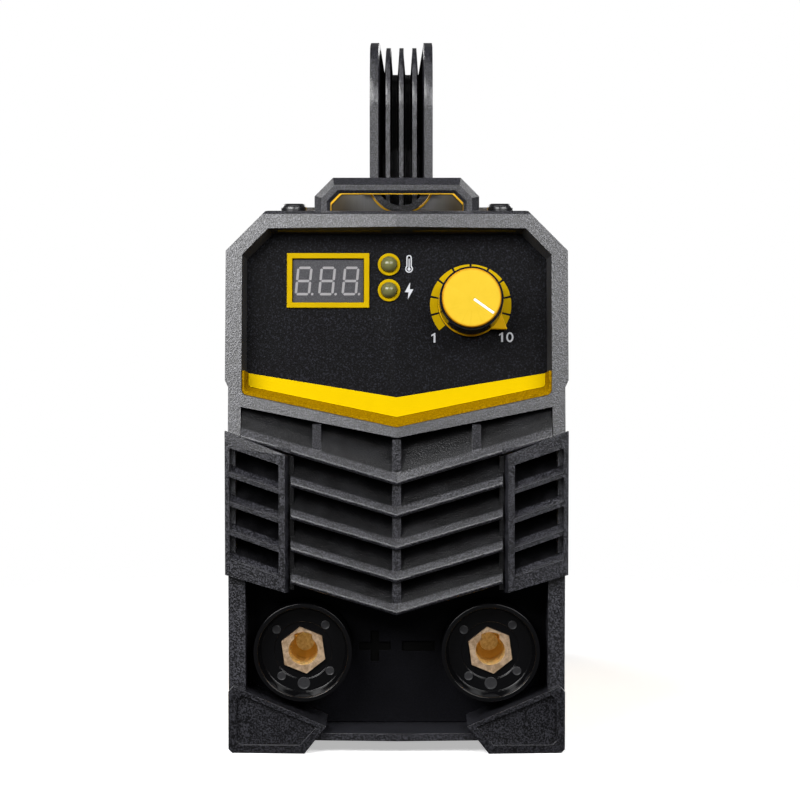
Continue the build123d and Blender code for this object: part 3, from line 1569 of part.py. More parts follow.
def bulk_capacitors():
    """Two tall electrolytic capacitors ahead of the fan."""
    can = rod_z(can_x, board_back - can_back, can_r, board_z, board_z + can_height)
    return two(fillet(can.edges().group_by(Axis.Z)[-1], 1.5))


def bridge_rectifier():
    """Mains bridge rectifier standing on its leads at the rear left."""
    x = can_x + can_r + 12.5
    body = block(x, x + 5, rear_parts_y, rear_parts_y + 12, board_z + 4, board_z + 24)
    leads = block(x + 2, x + 3, rear_parts_y + 1, rear_parts_y + 11, board_z, board_z + 5)
    return mirrored(body + leads)


def soft_start_relay():
    """Relay that shorts the inrush resistor, at the rear right."""
    x = can_x + can_r + 1.5
    return block(x, x + 11, rear_parts_y, rear_parts_y + 14, board_z, board_z + 18)


def auxiliary_transformer():
    """Small supply transformer between the bridge rectifier and the capacitors."""
    x = can_x + can_r + 1.0
    return mirrored(block(x, x + 10, rear_parts_y, rear_parts_y + 16, board_z, board_z + 16))


def film_capacitors():
    """Pair of box film capacitors behind the transformer."""
    box = block(-8, 8, film_y, film_y + film_thick, board_z, board_z + 16)
    return [box, Pos(0, film_thick + film_gap, 0) * box]


def build():
    """Write every sub-part."""
    write("front_frame", front_frame())
    write("front_grille", front_grille())
    write("control_panel", control_panel())
    write("chevron_trim", chevron_trim())
    write("display_bezel", display_bezel())
    write("display_module", display_module())
    write("status_lamps", status_lamps())
    write("lamp_rings", lamp_rings())
    write("control_board", control_board())
    write("control_board_parts", control_board_parts())
    write("potentiometer_body", potentiometer_body())
    write("potentiometer_nut", potentiometer_nut())
    write("potentiometer_shaft", potentiometer_shaft())
    write("knob_collet", knob_collet())
    write("knob_body", knob_body())
    write("knob_pointer", knob_pointer())
    write("knob_cap", knob_cap())
    write("socket_panel", socket_panel())
    for side, label in ((-1, "left"), (1, "right")):
        x = side * socket_x
        write("socket_housing_" + label, socket_housing(x))
        write("socket_contact_" + label, socket_contact(x))
    write("socket_fasteners", [socket_fastener(s * socket_x) for s in (-1, 1)])
    write("bus_bars", [bus_bar(s) for s in (-1, 1)])
    write("cover_shell", cover_shell())
    write("base_pan", base_pan())
    write("side_screws", side_screws())
    write("top_screws", top_screws())
    write("handle", handle())
    write("handle_screws", handle_screws())
    for s, label in ((1, "front"), (-1, "rear")):
        write("handle_mount_" + label, handle_mount(s))
    write("handle_plates", [handle_plate(1), handle_plate(-1)])
    write("rear_frame", rear_frame())
    write("rear_panel", rear_panel())
    write("fan_frame", fan_frame())
    write("fan_rotor", fan_rotor())
    write("fan_motor", fan_motor())
    write("fan_guard", fan_guard())
    write("fan_screws", fan_screws())
    write("switch_housing", switch_housing())
    write("power_rocker", power_rocker())
    write("switch_terminals", switch_terminals())
    write("gland_body", gland_body())
    write("gland_cap", gland_cap())
    write("gland_nut", gland_nut())
    write("earth_terminal", earth_terminal())
    write("power_board", power_board())
    write("board_standoffs", board_standoffs())
    write("board_screws", board_screws() + control_board_screws())
    write("heat_sink_left", heat_sink(-1))
    write("heat_sink_right", heat_sink(1))
    write("power_transistors", power_devices(-1))
    write("output_diodes", power_devices(1))
    write("transformer_core", transformer_core())
    write("transformer_winding", transformer_winding())
    write("output_choke", output_choke())
    write("bulk_capacitors", bulk_capacitors())
    supply = [bridge_rectifier(), soft_start_relay(), auxiliary_transformer()]
    write("supply_parts", supply + film_capacitors())


build()
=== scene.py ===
"""Looks of a stick welding inverter: finishes, edges, printed marks, floor, light, camera."""

import json
import math

import bmesh
import bpy
import numpy as np
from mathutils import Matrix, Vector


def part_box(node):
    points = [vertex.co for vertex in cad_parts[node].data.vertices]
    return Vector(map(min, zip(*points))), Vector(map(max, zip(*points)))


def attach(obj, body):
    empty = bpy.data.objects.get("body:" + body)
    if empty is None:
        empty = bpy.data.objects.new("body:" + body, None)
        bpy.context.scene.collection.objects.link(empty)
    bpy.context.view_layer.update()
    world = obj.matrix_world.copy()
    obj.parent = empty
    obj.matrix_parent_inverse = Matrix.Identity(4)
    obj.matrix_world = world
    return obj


MM = 0.001

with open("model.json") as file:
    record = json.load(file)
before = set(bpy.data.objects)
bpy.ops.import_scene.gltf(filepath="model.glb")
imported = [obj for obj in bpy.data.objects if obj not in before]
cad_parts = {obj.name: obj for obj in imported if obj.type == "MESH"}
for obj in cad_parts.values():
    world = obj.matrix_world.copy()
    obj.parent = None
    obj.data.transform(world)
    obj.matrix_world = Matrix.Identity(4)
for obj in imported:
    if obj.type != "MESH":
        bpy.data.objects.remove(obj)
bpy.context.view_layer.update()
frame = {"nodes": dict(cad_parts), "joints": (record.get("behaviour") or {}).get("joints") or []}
nodes = frame["nodes"]


# ---------------------------------------------------------------- places
def middle(node):
    """Centre of a node's box."""
    low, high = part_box(node)
    return (low + high) / 2


knob_joint = next(joint for joint in frame["joints"] if joint["name"] == "knob_turn")
knob_foot = np.array(knob_joint["pos_m"])
panel_out = np.array(knob_joint["axis"])
panel_up = np.cross(panel_out, [1.0, 0.0, 0.0])
cos_lean = panel_up[2]
socket_middles = {side: middle("socket_housing_" + side) for side in ("left", "right")}
case_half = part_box("front_frame")[1].x
case_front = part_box("front_grille")[0].y
prow = 3.5 * MM     # the front's crease stands this far ahead of its two sides


def on_panel(across, height, rise=0.0):
    """Point of the leaning control panel at X and Z, lifted along its normal; arrays give arrays.

    The knob's foot, plus the distance across along X, plus the distance up the panel, which is
    the height divided by the cosine of the lean, plus the rise outwards.
    """
    across, height, rise = np.broadcast_arrays(across, height, rise)
    up = (height - knob_foot[2]) / cos_lean
    side = np.array([1.0, 0.0, 0.0])
    return (knob_foot + (across - knob_foot[0])[..., None] * side + up[..., None] * panel_up
            + rise[..., None] * panel_out)


# ---------------------------------------------------------------- finishes
class Value:
    """A number or colour of a finish; arithmetic on it adds Math nodes there."""

    def __init__(self, finish, socket):
        self.finish = finish
        self.socket = socket

    def _math(self, operation, *terms):
        return self.finish.node("ShaderNodeMath", {"operation": operation}, dict(enumerate(terms)))

    def __add__(self, other):
        return self._math("ADD", self, other)

    def __radd__(self, other):
        return self._math("ADD", other, self)

    def __sub__(self, other):
        return self._math("SUBTRACT", self, other)

    def __rsub__(self, other):
        return self._math("SUBTRACT", other, self)

    def __mul__(self, other):
        return self._math("MULTIPLY", self, other)

    def __rmul__(self, other):
        return self._math("MULTIPLY", other, self)

    def __pow__(self, other):
        return self._math("POWER", self, other)

    def __abs__(self):
        return self._math("ABSOLUTE", self)

    def wave(self, length):
        """Sine of the value with the given wavelength."""
        return self._math("SINE", self * (2 * math.pi / length))

    def root(self):
        """Square root of the value."""
        return self._math("SQRT", self)

    def above(self, low):
        """The value, or low where it is less."""
        return self._math("MAXIMUM", self, low)

    def step(self, low, high):
        """Smooth 0 to 1 as the value goes from low to high."""
        return self.finish.node("ShaderNodeMapRange", {"interpolation_type": "SMOOTHSTEP"},
                                {0: self, 1: low, 2: high, 3: 0.0, 4: 1.0})

    def under(self, low, high):
        """Smooth 1 to 0 as the value goes from low to high."""
        return 1 - self.step(low, high)


class Finish:
    """A material under construction; its constants are set straight on the shader."""

    def __init__(self, name, **constants):
        self.material = bpy.data.materials.new(name)
        self.material.use_nodes = True
        self.tree = self.material.node_tree
        self.shader = self.tree.nodes["Principled BSDF"]
        for socket, value in constants.items():
            label = socket.replace("_", " ").title().replace("Ior", "IOR")
            self._give(self.shader.inputs[label], value)
        self.place = self.node("ShaderNodeTexCoord", {}, {}, "Object")

    def _give(self, socket, value):
        if isinstance(value, Value):
            self.tree.links.new(value.socket, socket)
        elif isinstance(value, tuple) and len(value) == 3 and socket.type == "RGBA":
            socket.default_value = (*value, 1.0)
        else:
            socket.default_value = value

    def node(self, kind, settings, inputs, output=0):
        """Any node: its settings first, then the values or links of its sockets."""
        made = self.tree.nodes.new(kind)
        for key, value in settings.items():
            setattr(made, key, value)
        for key, value in inputs.items():
            self._give(made.inputs[key], value)
        return Value(self, made.outputs[output])

    def noise(self, size, detail=2.0, roughness=0.5, place=None):
        """Cloudy noise about 0.5 with features of a given size."""
        return self.node("ShaderNodeTexNoise", {}, {
            "Vector": place or self.place, "Scale": 1 / size,
            "Detail": detail, "Roughness": roughness,
        })

    def stretched(self, x, y, z):
        """Object coordinates scaled on each axis."""
        return self.node("ShaderNodeMapping", {}, {"Vector": self.place, "Scale": (x, y, z)})

    def axes(self):
        """X, Y and Z of the object coordinates."""
        split = self.node("ShaderNodeSeparateXYZ", {}, {0: self.place})
        outputs = split.socket.node.outputs
        return [Value(self, outputs[i]) for i in range(3)]

    def blend(self, share, first, second):
        """Colour between two others."""
        return self.node("ShaderNodeMix", {"data_type": "RGBA"}, {0: share, 6: first, 7: second}, 2)

    def feed(self, socket, value):
        """Gives one of the shader's sockets what varies over the surface."""
        self._give(self.shader.inputs[socket], value)

    def fed(self, socket):
        """What already feeds one of the shader's sockets."""
        return Value(self, self.shader.inputs[socket].links[0].from_socket)

    def bump(self, height, depth):
        """Relief of a height from 0 to 1 and a real depth."""
        relief = {"Height": height, "Distance": depth, "Strength": 1.0}
        self.feed("Normal", self.node("ShaderNodeBump", {}, relief))


def panel_rise(y, z):
    """Height of a point above the control panel's plane, along the panel's normal."""
    return y * panel_out[1] + z * panel_out[2] - float(knob_foot @ panel_out)


def grained(name, dark, light, size, contrast, depth, gloss, sheen):
    """Spark-eroded moulding: its share of light tips is fine grain times a contrast, plus a cloud.

    The share sets the tone and, from the first gloss to the second, the roughness. The grain is
    also the relief.
    """
    f = Finish(name, specular_ior_level=sheen)
    grain = f.noise(size, 2.0, 0.6)
    cloud = f.noise(11 * MM, 2.0)
    share = ((grain - 0.5) * contrast + (cloud - 0.5) * 0.5 + 0.35).step(0.0, 1.0)
    f.feed("Base Color", f.blend(share, dark, light))
    f.feed("Roughness", gloss[0] + (gloss[1] - gloss[0]) * share)
    f.bump(grain, depth)
    return f


def graphite(name):
    """The case's moulding, with coarse sparkling grain."""
    return grained(name, (0.001, 0.001, 0.002), (0.040, 0.040, 0.050), 0.48 * MM, 6.5,
                   0.12 * MM, (0.29, 0.41), 0.95)


def graphite_plastic():
    """The case's moulding where nothing else is asked of it."""
    return graphite("graphite_plastic").material


def black_inside(f, share, dark, light, roughness, damp=0.0):
    """Smudged black in place of a grained finish where share is 1; on the louvre blades, the
    handle's core and the socket plate's sunk marks this black is painted shade.

    Damp makes it that much a metal, and black metal has no sheen.
    """
    smudge = f.noise(9 * MM, 4.0, 0.6).step(0.35, 0.75)
    f.feed("Base Color", f.blend(share, f.fed("Base Color"), f.blend(smudge, dark, light)))
    gloss = f.fed("Roughness")
    f.feed("Roughness", gloss + (roughness - gloss) * share)
    if damp:
        f.feed("Metallic", damp * share)


def frame_graphite():
    """Grained face of the case, with duller feet.

    Above the louvres the roughness of tips and hollows changes places: it is the sum of both less
    itself. The walls of the control recess are plain black: they lie less than the frame's height
    above the panel, inside the recess's sides, bottom and roof.
    """
    f = graphite("frame_graphite")
    x, y, z = f.axes()
    gloss = f.fed("Roughness")
    both, louvres_end = 0.71, (90 * MM, 94 * MM)
    f.feed("Roughness", gloss + (both - gloss * 2) * z.step(*louvres_end))
    frame_height, sides = (7.0 * MM, 7.4 * MM), (50.5 * MM, 50.9 * MM)
    bottom, roof = (100 * MM, 101 * MM), (167.5 * MM, 167.9 * MM)
    crease = (1 - abs(x) * (1 / case_half)) * prow
    walls = (panel_rise(y, z) - crease).under(*frame_height)
    inside = walls * abs(x).under(*sides) * z.step(*bottom) * z.under(*roof)
    black_inside(f, inside, (0.016, 0.016, 0.017), (0.024, 0.024, 0.026), 0.5)
    feet = z.under(19 * MM, 24 * MM) * abs(x).step(22 * MM, 27 * MM)
    f.feed("Metallic", 0.4 * feet)
    return f.material


def grille_plastic():
    """Grain on the louvres' front edges and three upright ribs; the smooth blades behind them are
    painted dark as shade.
    """
    f = graphite("grille_plastic")
    x, y, z = f.axes()
    front_edge, side_rib_x = (1.4 * MM, 2.0 * MM), 25.2 * MM
    rib_edge, top_slot = (1.4 * MM, 1.6 * MM), (93.5 * MM, 94.5 * MM)
    behind = (y - abs(x) * (prow / case_half) - case_front).step(*front_edge)
    side_ribs = abs(abs(x) - side_rib_x).under(*rib_edge) * z.step(*top_slot)
    shaded_blades = behind * (1 - (side_ribs + abs(x).under(*rib_edge)))
    # painted shade: the blades in the gaps under the louvres get a near-black smudged colour and
    # lose their sheen
    black_inside(f, shaded_blades, (0.001, 0.001, 0.0015), (0.012, 0.012, 0.014), 0.28, 0.45)
    return f.material


def handle_graphite():
    """Grained rim and ribs of the handle; the core between them is painted black as shade.

    The depth below the handle's outline is the corner's radius less the distance from the
    corner's centre, and its top is an arch, lower by the square of the distance from the middle.
    """
    f = graphite("handle_graphite")
    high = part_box("handle")[1]
    x, y, z = f.axes()
    corner, arch = 20 * MM, 3 * MM
    reach = high.y - corner
    out_y = (abs(y) - reach).above(0.0)
    out_z = (z - (high.z - corner) + (y * (1 / reach)) ** 2 * arch).above(0.0)
    depth = corner - (out_y ** 2 + out_z ** 2).root()
    outer_rim, inner_rim = (1.8 * MM, 2.4 * MM), (11.2 * MM, 11.6 * MM)
    half_width = (9.5 * MM, 9.8 * MM)
    shaded_core = depth.step(*outer_rim) * depth.under(*inner_rim)
    shaded_core = shaded_core * abs(x - middle("handle").x).under(*half_width)
    # painted shade: the core deep between the ribs is near-black and loses its sheen
    black_inside(f, shaded_core, (0.001, 0.001, 0.0013), (0.003, 0.003, 0.004), 0.45, 0.8)
    return f.material


def black_panel():
    """Matt black film with a fine sparkle."""
    f = Finish("black_panel", specular_ior_level=0.08)
    grain = f.noise(0.55 * MM, 2.0, 0.6)
    spark = grain.step(0.46, 0.80)
    f.feed("Base Color", f.blend(spark, (0.0006, 0.0006, 0.001), (0.017, 0.018, 0.025)))
    f.feed("Roughness", 0.55 - 0.2 * spark)
    f.bump(grain, 0.08 * MM)
    return f.material


def socket_black():
    """Smooth black plate behind the sockets, painted dead black as shade inside its sunk marks."""
    f = grained("socket_black", (0.002, 0.002, 0.003), (0.007, 0.007, 0.010), 0.5 * MM, 2.0,
                0.01 * MM, (0.5, 0.6), 0.10)
    _, y, _ = f.axes()
    sunk_shade = (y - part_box("socket_panel")[0].y).step(0.1 * MM, 0.4 * MM)
    # painted shade: dead black inside the sunk marks, found by their depth below the plate's face
    black_inside(f, sunk_shade, (0.0, 0.0, 0.0), (0.001, 0.001, 0.001), 0.7)
    return f.material


def gloss_black():
    """Polished black with a faint haze and waviness."""
    f = Finish("gloss_black", base_color=(0.003, 0.003, 0.0035), specular_ior_level=0.45)
    haze = f.noise(6 * MM, 4.0, 0.6)
    f.feed("Roughness", 0.06 + 0.1 * haze)
    f.bump(f.noise(1.6 * MM, 2.0), 0.004 * MM)
    return f.material


def black_plastic():
    """Black moulding with a shallow fine grain."""
    return grained("black_plastic", (0.004, 0.004, 0.005), (0.018, 0.018, 0.021), 0.5 * MM, 2.5,
                   0.03 * MM, (0.34, 0.42), 0.9).material


def yellow_plastic():
    """Moulded or printed yellow, slightly clouded."""
    f = Finish("yellow_plastic", specular_ior_level=0.02)
    cloud = f.noise(5 * MM, 3.0)
    f.feed("Base Color", f.blend(cloud, (0.405, 0.26, 0.0004), (0.48, 0.32, 0.0008)))
    f.feed("Roughness", 0.4 + 0.15 * cloud)
    f.bump(f.noise(0.5 * MM, 2.0), 0.01 * MM)
    return f.material


def chevron_yellow():
    """Bright face; the lining up the recess wall is speckled gold painted darker as shade, with
    painted shade in the crease at its foot.
    """
    f = Finish("chevron_yellow", specular_ior_level=0.01)
    _, y, z = f.axes()
    rise = panel_rise(y, z)
    face_top, crease_shade_top = (0.95 * MM, 1.1 * MM), (1.3 * MM, 1.5 * MM)
    lining = rise.step(*face_top)
    speck = f.noise(0.5 * MM, 2.0).step(0.3, 0.7)
    # painted shade: the lining's gold is the face's yellow made darker, as the wall faces up away
    # from the light
    gold = f.blend(speck, (0.17, 0.085, 0.0), (0.32, 0.18, 0.0007))
    face = f.blend(f.noise(5 * MM, 3.0), (0.58, 0.395, 0.0003), (0.64, 0.44, 0.0006))
    # painted shade: a dark line in the crease where the lining meets the face
    crease_shade = lining * rise.under(*crease_shade_top)
    f.feed("Base Color", f.blend(crease_shade, f.blend(lining, face, gold), (0.03, 0.015, 0.0)))
    f.feed("Roughness", 0.4 + 0.2 * lining)
    f.bump(speck, 0.01 * MM)
    return f.material


def knob_black():
    """Polished black side of the knob."""
    f = Finish("knob_black", base_color=(0.004, 0.004, 0.005), specular_ior_level=0.35)
    haze = f.noise(2 * MM, 3.0, 0.6)
    f.feed("Roughness", 0.14 + 0.14 * haze)
    f.bump(haze, 0.006 * MM)
    return f.material


def pointer_yellow():
    """Deeper yellow of the knob's pointer."""
    f = Finish("pointer_yellow", specular_ior_level=0.05)
    cloud = f.noise(2 * MM, 3.0)
    f.feed("Base Color", f.blend(cloud, (0.60, 0.32, 0.001), (0.72, 0.42, 0.002)))
    f.feed("Roughness", 0.3 + 0.15 * cloud)
    f.bump(f.noise(0.5 * MM, 2.0), 0.008 * MM)
    return f.material


def knob_amber():
    """Satin amber disc, painted deeper orange round its rounded edge as shade."""
    f = Finish("knob_amber", specular_ior_level=0.12)
    x, y, z = f.axes()
    up = y * panel_up[1] + z * panel_up[2] - float(knob_foot @ panel_up)
    radius = ((x - knob_foot[0]) ** 2 + up ** 2).root()
    # painted shade: the cap's rounded edge is made deeper orange than its middle
    rim = radius.step(8.5 * MM, 9.3 * MM)
    cloud = f.noise(3 * MM, 3.0)
    disc = f.blend(cloud, (0.57, 0.375, 0.0128), (0.63, 0.42, 0.02))
    f.feed("Base Color", f.blend(rim, disc, (0.50, 0.21, 0.0015)))
    f.feed("Roughness", 0.42 + 0.12 * cloud)
    f.bump(f.noise(0.35 * MM, 2.0), 0.008 * MM)
    return f.material


def yellow_paint():
    """Sprayed yellow with a slight orange peel."""
    f = Finish("yellow_paint")
    cloud = f.noise(30 * MM, 3.0)
    f.feed("Base Color", f.blend(cloud, (0.70, 0.38, 0.003), (0.80, 0.46, 0.005)))
    f.feed("Roughness", 0.34 + 0.12 * f.noise(2 * MM, 2.0))
    f.bump(f.noise(1.1 * MM, 2.0), 0.03 * MM)
    return f.material


def metal(name, dark, light, along, size, roughness, depth):
    """Brushed or rolled metal: fine streaks along one axis."""
    f = Finish(name, metallic=1.0)
    stretch = [1.0, 1.0, 1.0]
    stretch["XYZ".index(along)] = 0.04
    streak = f.noise(size, 3.0, 0.6, f.stretched(*stretch))
    cloud = f.noise(12 * MM, 2.0)
    f.feed("Base Color", f.blend(streak * 0.6 + cloud * 0.4, dark, light))
    f.feed("Roughness", roughness - 0.08 + 0.16 * streak)
    f.bump(streak, depth)
    return f


def socket_brass():
    """Bronze-beige brushed nose, polished gold bore with rings, pale turned end of the bore; bore
    and end are also painted brighter as painted light.
    """
    f = Finish("socket_brass")
    x, y, z = f.axes()
    centre = socket_middles["right"]
    radius = ((abs(x) - centre.x) ** 2 + (z - centre.z) ** 2).root()
    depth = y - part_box("socket_contact_right")[0].y
    mouth, bore_radius = (0.1 * MM, 0.4 * MM), (4.75 * MM, 4.95 * MM)
    end_depth, end_radius = (19.7 * MM, 19.9 * MM), (2.9 * MM, 3.0 * MM)
    bore = radius.under(*bore_radius) * depth.step(*mouth)
    floor_end = depth.step(*end_depth) * radius.under(*end_radius)
    streak = f.noise(0.5 * MM, 3.0, 0.6, f.stretched(1.0, 1.0, 0.05))
    patina = f.noise(1.8 * MM, 4.0, 0.65).step(0.35, 0.65)
    nose = f.blend(patina, (0.52, 0.34, 0.20), (0.90, 0.66, 0.44))
    # painted light: the polished bore's gold and the pale turned end are brighter than the nose,
    # with less metal, to stand in for light reaching into the bore
    gold = f.blend(f.noise(1.5 * MM, 2.0), (0.92, 0.62, 0.20), (1.0, 0.80, 0.40))
    turning_marks = f.noise(0.9 * MM, 4.0, 0.7).step(0.35, 0.65)
    pale = f.blend(turning_marks, (0.70, 0.62, 0.34), (1.0, 0.94, 0.64))
    inner = f.blend(floor_end, gold, pale)
    f.feed("Base Color", f.blend(bore, nose, inner))
    f.feed("Metallic", 0.75 - 0.15 * bore - 0.45 * bore * floor_end)
    f.feed("Roughness", 0.36 + 0.1 * streak - 0.16 * bore + 0.15 * bore * floor_end)
    rings = (y.wave(3.1 * MM) * 0.5 + 0.5) * bore * (1 - floor_end)
    f.bump(streak * 0.06 + rings, 0.12 * MM)
    return f.material


def satin_steel():
    """Grey brushed steel, browner towards its ends."""
    f = metal("satin_steel", (0.20, 0.20, 0.20), (0.35, 0.35, 0.35), "Z", 0.5 * MM, 0.38,
              0.006 * MM)
    x, _, _ = f.axes()
    ends = abs(x).step(9 * MM, 20 * MM)
    f.feed("Base Color", f.blend(ends, f.fed("Base Color"), (0.11, 0.09, 0.06)))
    return f.material


def black_screw():
    """Blackened steel, shiny in places."""
    f = Finish("black_screw", specular_ior_level=0.8)
    cloud = f.noise(1.2 * MM, 3.0)
    f.feed("Base Color", f.blend(cloud, (0.004, 0.004, 0.005), (0.014, 0.014, 0.016)))
    f.feed("Roughness", 0.2 + 0.2 * cloud)
    f.bump(cloud, 0.01 * MM)
    return f.material


def mottled(name, dark, light, size, roughness, depth, sheen=0.5):
    """Non-metal with soft mottling."""
    f = Finish(name, specular_ior_level=sheen)
    cloud = f.noise(size, 3.0)
    f.feed("Base Color", f.blend(cloud, dark, light))
    f.feed("Roughness", roughness - 0.06 + 0.12 * cloud)
    f.bump(cloud, depth)
    return f


def display_grey():
    """Grey digit window under a finely textured film."""
    f = Finish("display_grey", specular_ior_level=0.3)
    grain = f.noise(0.3 * MM, 2.0)
    speck = grain.step(0.3, 0.7)
    f.feed("Base Color", f.blend(speck, (0.021, 0.021, 0.0245), (0.052, 0.051, 0.058)))
    f.feed("Roughness", 0.3 + 0.1 * grain)
    f.bump(grain, 0.006 * MM)
    return f.material


# Dark and light tone, axis and width of the streaks, roughness, relief.
metals = {
    "brass": ((0.50, 0.33, 0.12), (0.72, 0.52, 0.24), "Z", 0.5 * MM, 0.32, 0.008 * MM),
    "copper": ((0.55, 0.24, 0.12), (0.72, 0.36, 0.2), "Y", 0.6 * MM, 0.35, 0.008 * MM),
    "bright_wire": ((0.55, 0.55, 0.56), (0.75, 0.75, 0.76), "X", 1 * MM, 0.2, 0.004 * MM),
    "aluminium": ((0.6, 0.6, 0.61), (0.8, 0.8, 0.81), "Y", 0.5 * MM, 0.34, 0.01 * MM),
}
# Dark and light tone, size of the mottling, roughness, relief and, where it isn't 0.5, sheen.
mottles = {
    "rotor_black": ((0.008, 0.008, 0.009), (0.014, 0.014, 0.016), 4 * MM, 0.4, 0.01 * MM),
    "lamp_olive": ((0.10, 0.10, 0.034), (0.165, 0.165, 0.068), 2 * MM, 0.2, 0.004 * MM),
    "circuit_board": ((0.01, 0.07, 0.03), (0.02, 0.11, 0.05), 3 * MM, 0.4, 0.01 * MM),
    "ferrite": ((0.02, 0.02, 0.022), (0.05, 0.05, 0.055), 1 * MM, 0.6, 0.03 * MM),
    "device_black": ((0.01, 0.01, 0.011), (0.02, 0.02, 0.022), 1 * MM, 0.5, 0.02 * MM),
    "capacitor_sleeve": ((0.01, 0.015, 0.04), (0.015, 0.02, 0.06), 9 * MM, 0.25, 0.004 * MM),
    "printed_white": ((0.46, 0.47, 0.50), (0.55, 0.56, 0.60), 1 * MM, 0.5, 0.004 * MM, 0.2),
    "inlay_white": ((0.88, 0.88, 0.88), (0.92, 0.92, 0.92), 1 * MM, 0.4, 0.004 * MM, 0.3),
    "digit_grey": ((0.215, 0.21, 0.215), (0.29, 0.28, 0.29), 1 * MM, 0.4, 0.004 * MM, 0.2),
    "pip_grey": ((0.010, 0.010, 0.011), (0.035, 0.035, 0.038), 0.5 * MM, 0.4, 0.02 * MM),
    # painted shade: yellow made dim for the strips in shade under the recess roof
    "dim_gold": ((0.16, 0.11, 0.002), (0.28, 0.20, 0.004), 1 * MM, 0.5, 0.01 * MM, 0.1),
}

finishes = {make.__name__: make() for make in (
    graphite_plastic, frame_graphite, grille_plastic, handle_graphite, black_panel, socket_black,
    gloss_black, black_plastic, yellow_plastic, chevron_yellow, knob_black, knob_amber,
    pointer_yellow, yellow_paint, socket_brass, satin_steel, black_screw, display_grey,
)}
finishes |= {name: metal(name, *look).material for name, look in metals.items()}
finishes |= {name: mottled(name, *look).material for name, look in mottles.items()}
own_finish = {
    "front_frame": "frame_graphite", "front_grille": "grille_plastic", "handle": "handle_graphite",
    "socket_panel": "socket_black", "chevron_trim": "chevron_yellow", "knob_body": "knob_black",
    "knob_cap": "knob_amber", "knob_pointer": "pointer_yellow",
    "socket_contact_left": "socket_brass", "socket_contact_right": "socket_brass",
}
for name, node in nodes.items():
    slot_name = node.data.materials[0].name.split(".")[0]
    node.material_slots[0].material = finishes[own_finish.get(name, slot_name)]


# ---------------------------------------------------------------- rounded edges
def round_edges(name, width, joined=True):
    """Merge a node's corners, join its flat faces if asked and round its edges, by modifiers."""
    node = nodes[name]
    weld = node.modifiers.new("merge", "WELD")
    weld.merge_threshold = 0.001 * MM
    if joined:
        flat = node.modifiers.new("flat_faces", "DECIMATE")
        flat.decimate_type = "DISSOLVE"
        flat.angle_limit = math.radians(1)
    bevel = node.modifiers.new("round", "BEVEL")
    bevel.width = width
    bevel.segments = 2
    bevel.limit_method = "ANGLE"
    bevel.angle_limit = math.radians(30)
    bevel.harden_normals = True


# Widths of the rounding in millimetres.
flat_sided = {
    "front_frame": 0.8, "rear_frame": 0.8, "front_grille": 0.75, "handle": 0.55,
    "chevron_trim": 0.15, "display_bezel": 0.25, "handle_mount_front": 0.2,
    "handle_mount_rear": 0.2, "base_pan": 0.15,
}
round_sided = {
    "socket_panel": 0.15, "control_panel": 0.1, "knob_body": 0.2, "knob_cap": 0.3,
    "knob_pointer": 0.3, "lamp_rings": 0.15, "socket_housing_left": 0.3,
    "socket_housing_right": 0.3, "cover_shell": 0.12, "socket_contact_left": 0.25,
    "socket_contact_right": 0.25, "switch_housing": 0.4, "power_rocker": 0.4, "gland_body": 0.3,
    "gland_cap": 0.4, "rear_panel": 0.12,
}
for name, width in flat_sided.items():
    round_edges(name, width * MM)
for name, width in round_sided.items():
    round_edges(name, width * MM, joined=False)


# ---------------------------------------------------------------- small pieces
bedded = 0.05 * MM      # depth of a printed mark below the face it lies on


def piece(name, points, faces, finish, body="root"):
    """Closed mesh with outward faces that rides on a body."""
    mesh = bpy.data.meshes.new(name)
    mesh.from_pydata(points.tolist(), [], faces)
    shape = bmesh.new()
    shape.from_mesh(mesh)
    bmesh.ops.recalc_face_normals(shape, faces=shape.faces)
    shape.to_mesh(mesh)
    shape.free()
    mesh.materials.append(finishes[finish])
    made = bpy.data.objects.new(name, mesh)
    bpy.context.scene.collection.objects.link(made)
    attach(made, body)
    return made


def swept_faces(rows, columns, start):
    """Faces of a closed profile carried along rows, with both ends capped."""
    index = start + np.arange(rows * columns).reshape(rows, columns)
    onward = np.roll(index, -1, axis=1)
    sides = np.stack([index[:-1], onward[:-1], onward[1:], index[1:]], axis=-1).reshape(-1, 4)
    return sides.tolist() + [index[0].tolist(), index[-1].tolist()]


def swept_piece(name, sweeps, finish, body="root"):
    """One piece from several sweeps, each an array of rows of closed profiles."""
    points, faces, start = [], [], 0
    for sweep in sweeps:
        rows, columns, _ = sweep.shape
        points.append(sweep.reshape(-1, 3))
        faces += swept_faces(rows, columns, start)
        start += rows * columns
    return piece(name, np.concatenate(points), faces, finish, body)


def plaque(outline, across, height, low, high):
    """Flat mark on the panel: an outline round a point, carried out from one rise to another."""
    outline = np.asarray(outline)
    return np.stack([on_panel(across + outline[:, 0], height + outline[:, 1] * cos_lean, rise)
                     for rise in (low, high)])


def arc_bar(radius_in, radius_out, first, last, low, high, steps=16):
    """Arc on the panel round the knob: a rectangular profile carried from one angle to another.

    A point is the knob's foot, plus the radius times the sine of the angle across and times its
    cosine up the panel.
    """
    turn = np.radians(np.linspace(first, last, steps))
    radius = np.array([radius_in, radius_out, radius_out, radius_in])
    rise = np.array([low, low, high, high])
    across = knob_foot[0] + np.sin(turn)[:, None] * radius
    up = np.cos(turn)[:, None] * radius
    return on_panel(across, knob_foot[2] + up * cos_lean, np.broadcast_to(rise, across.shape))


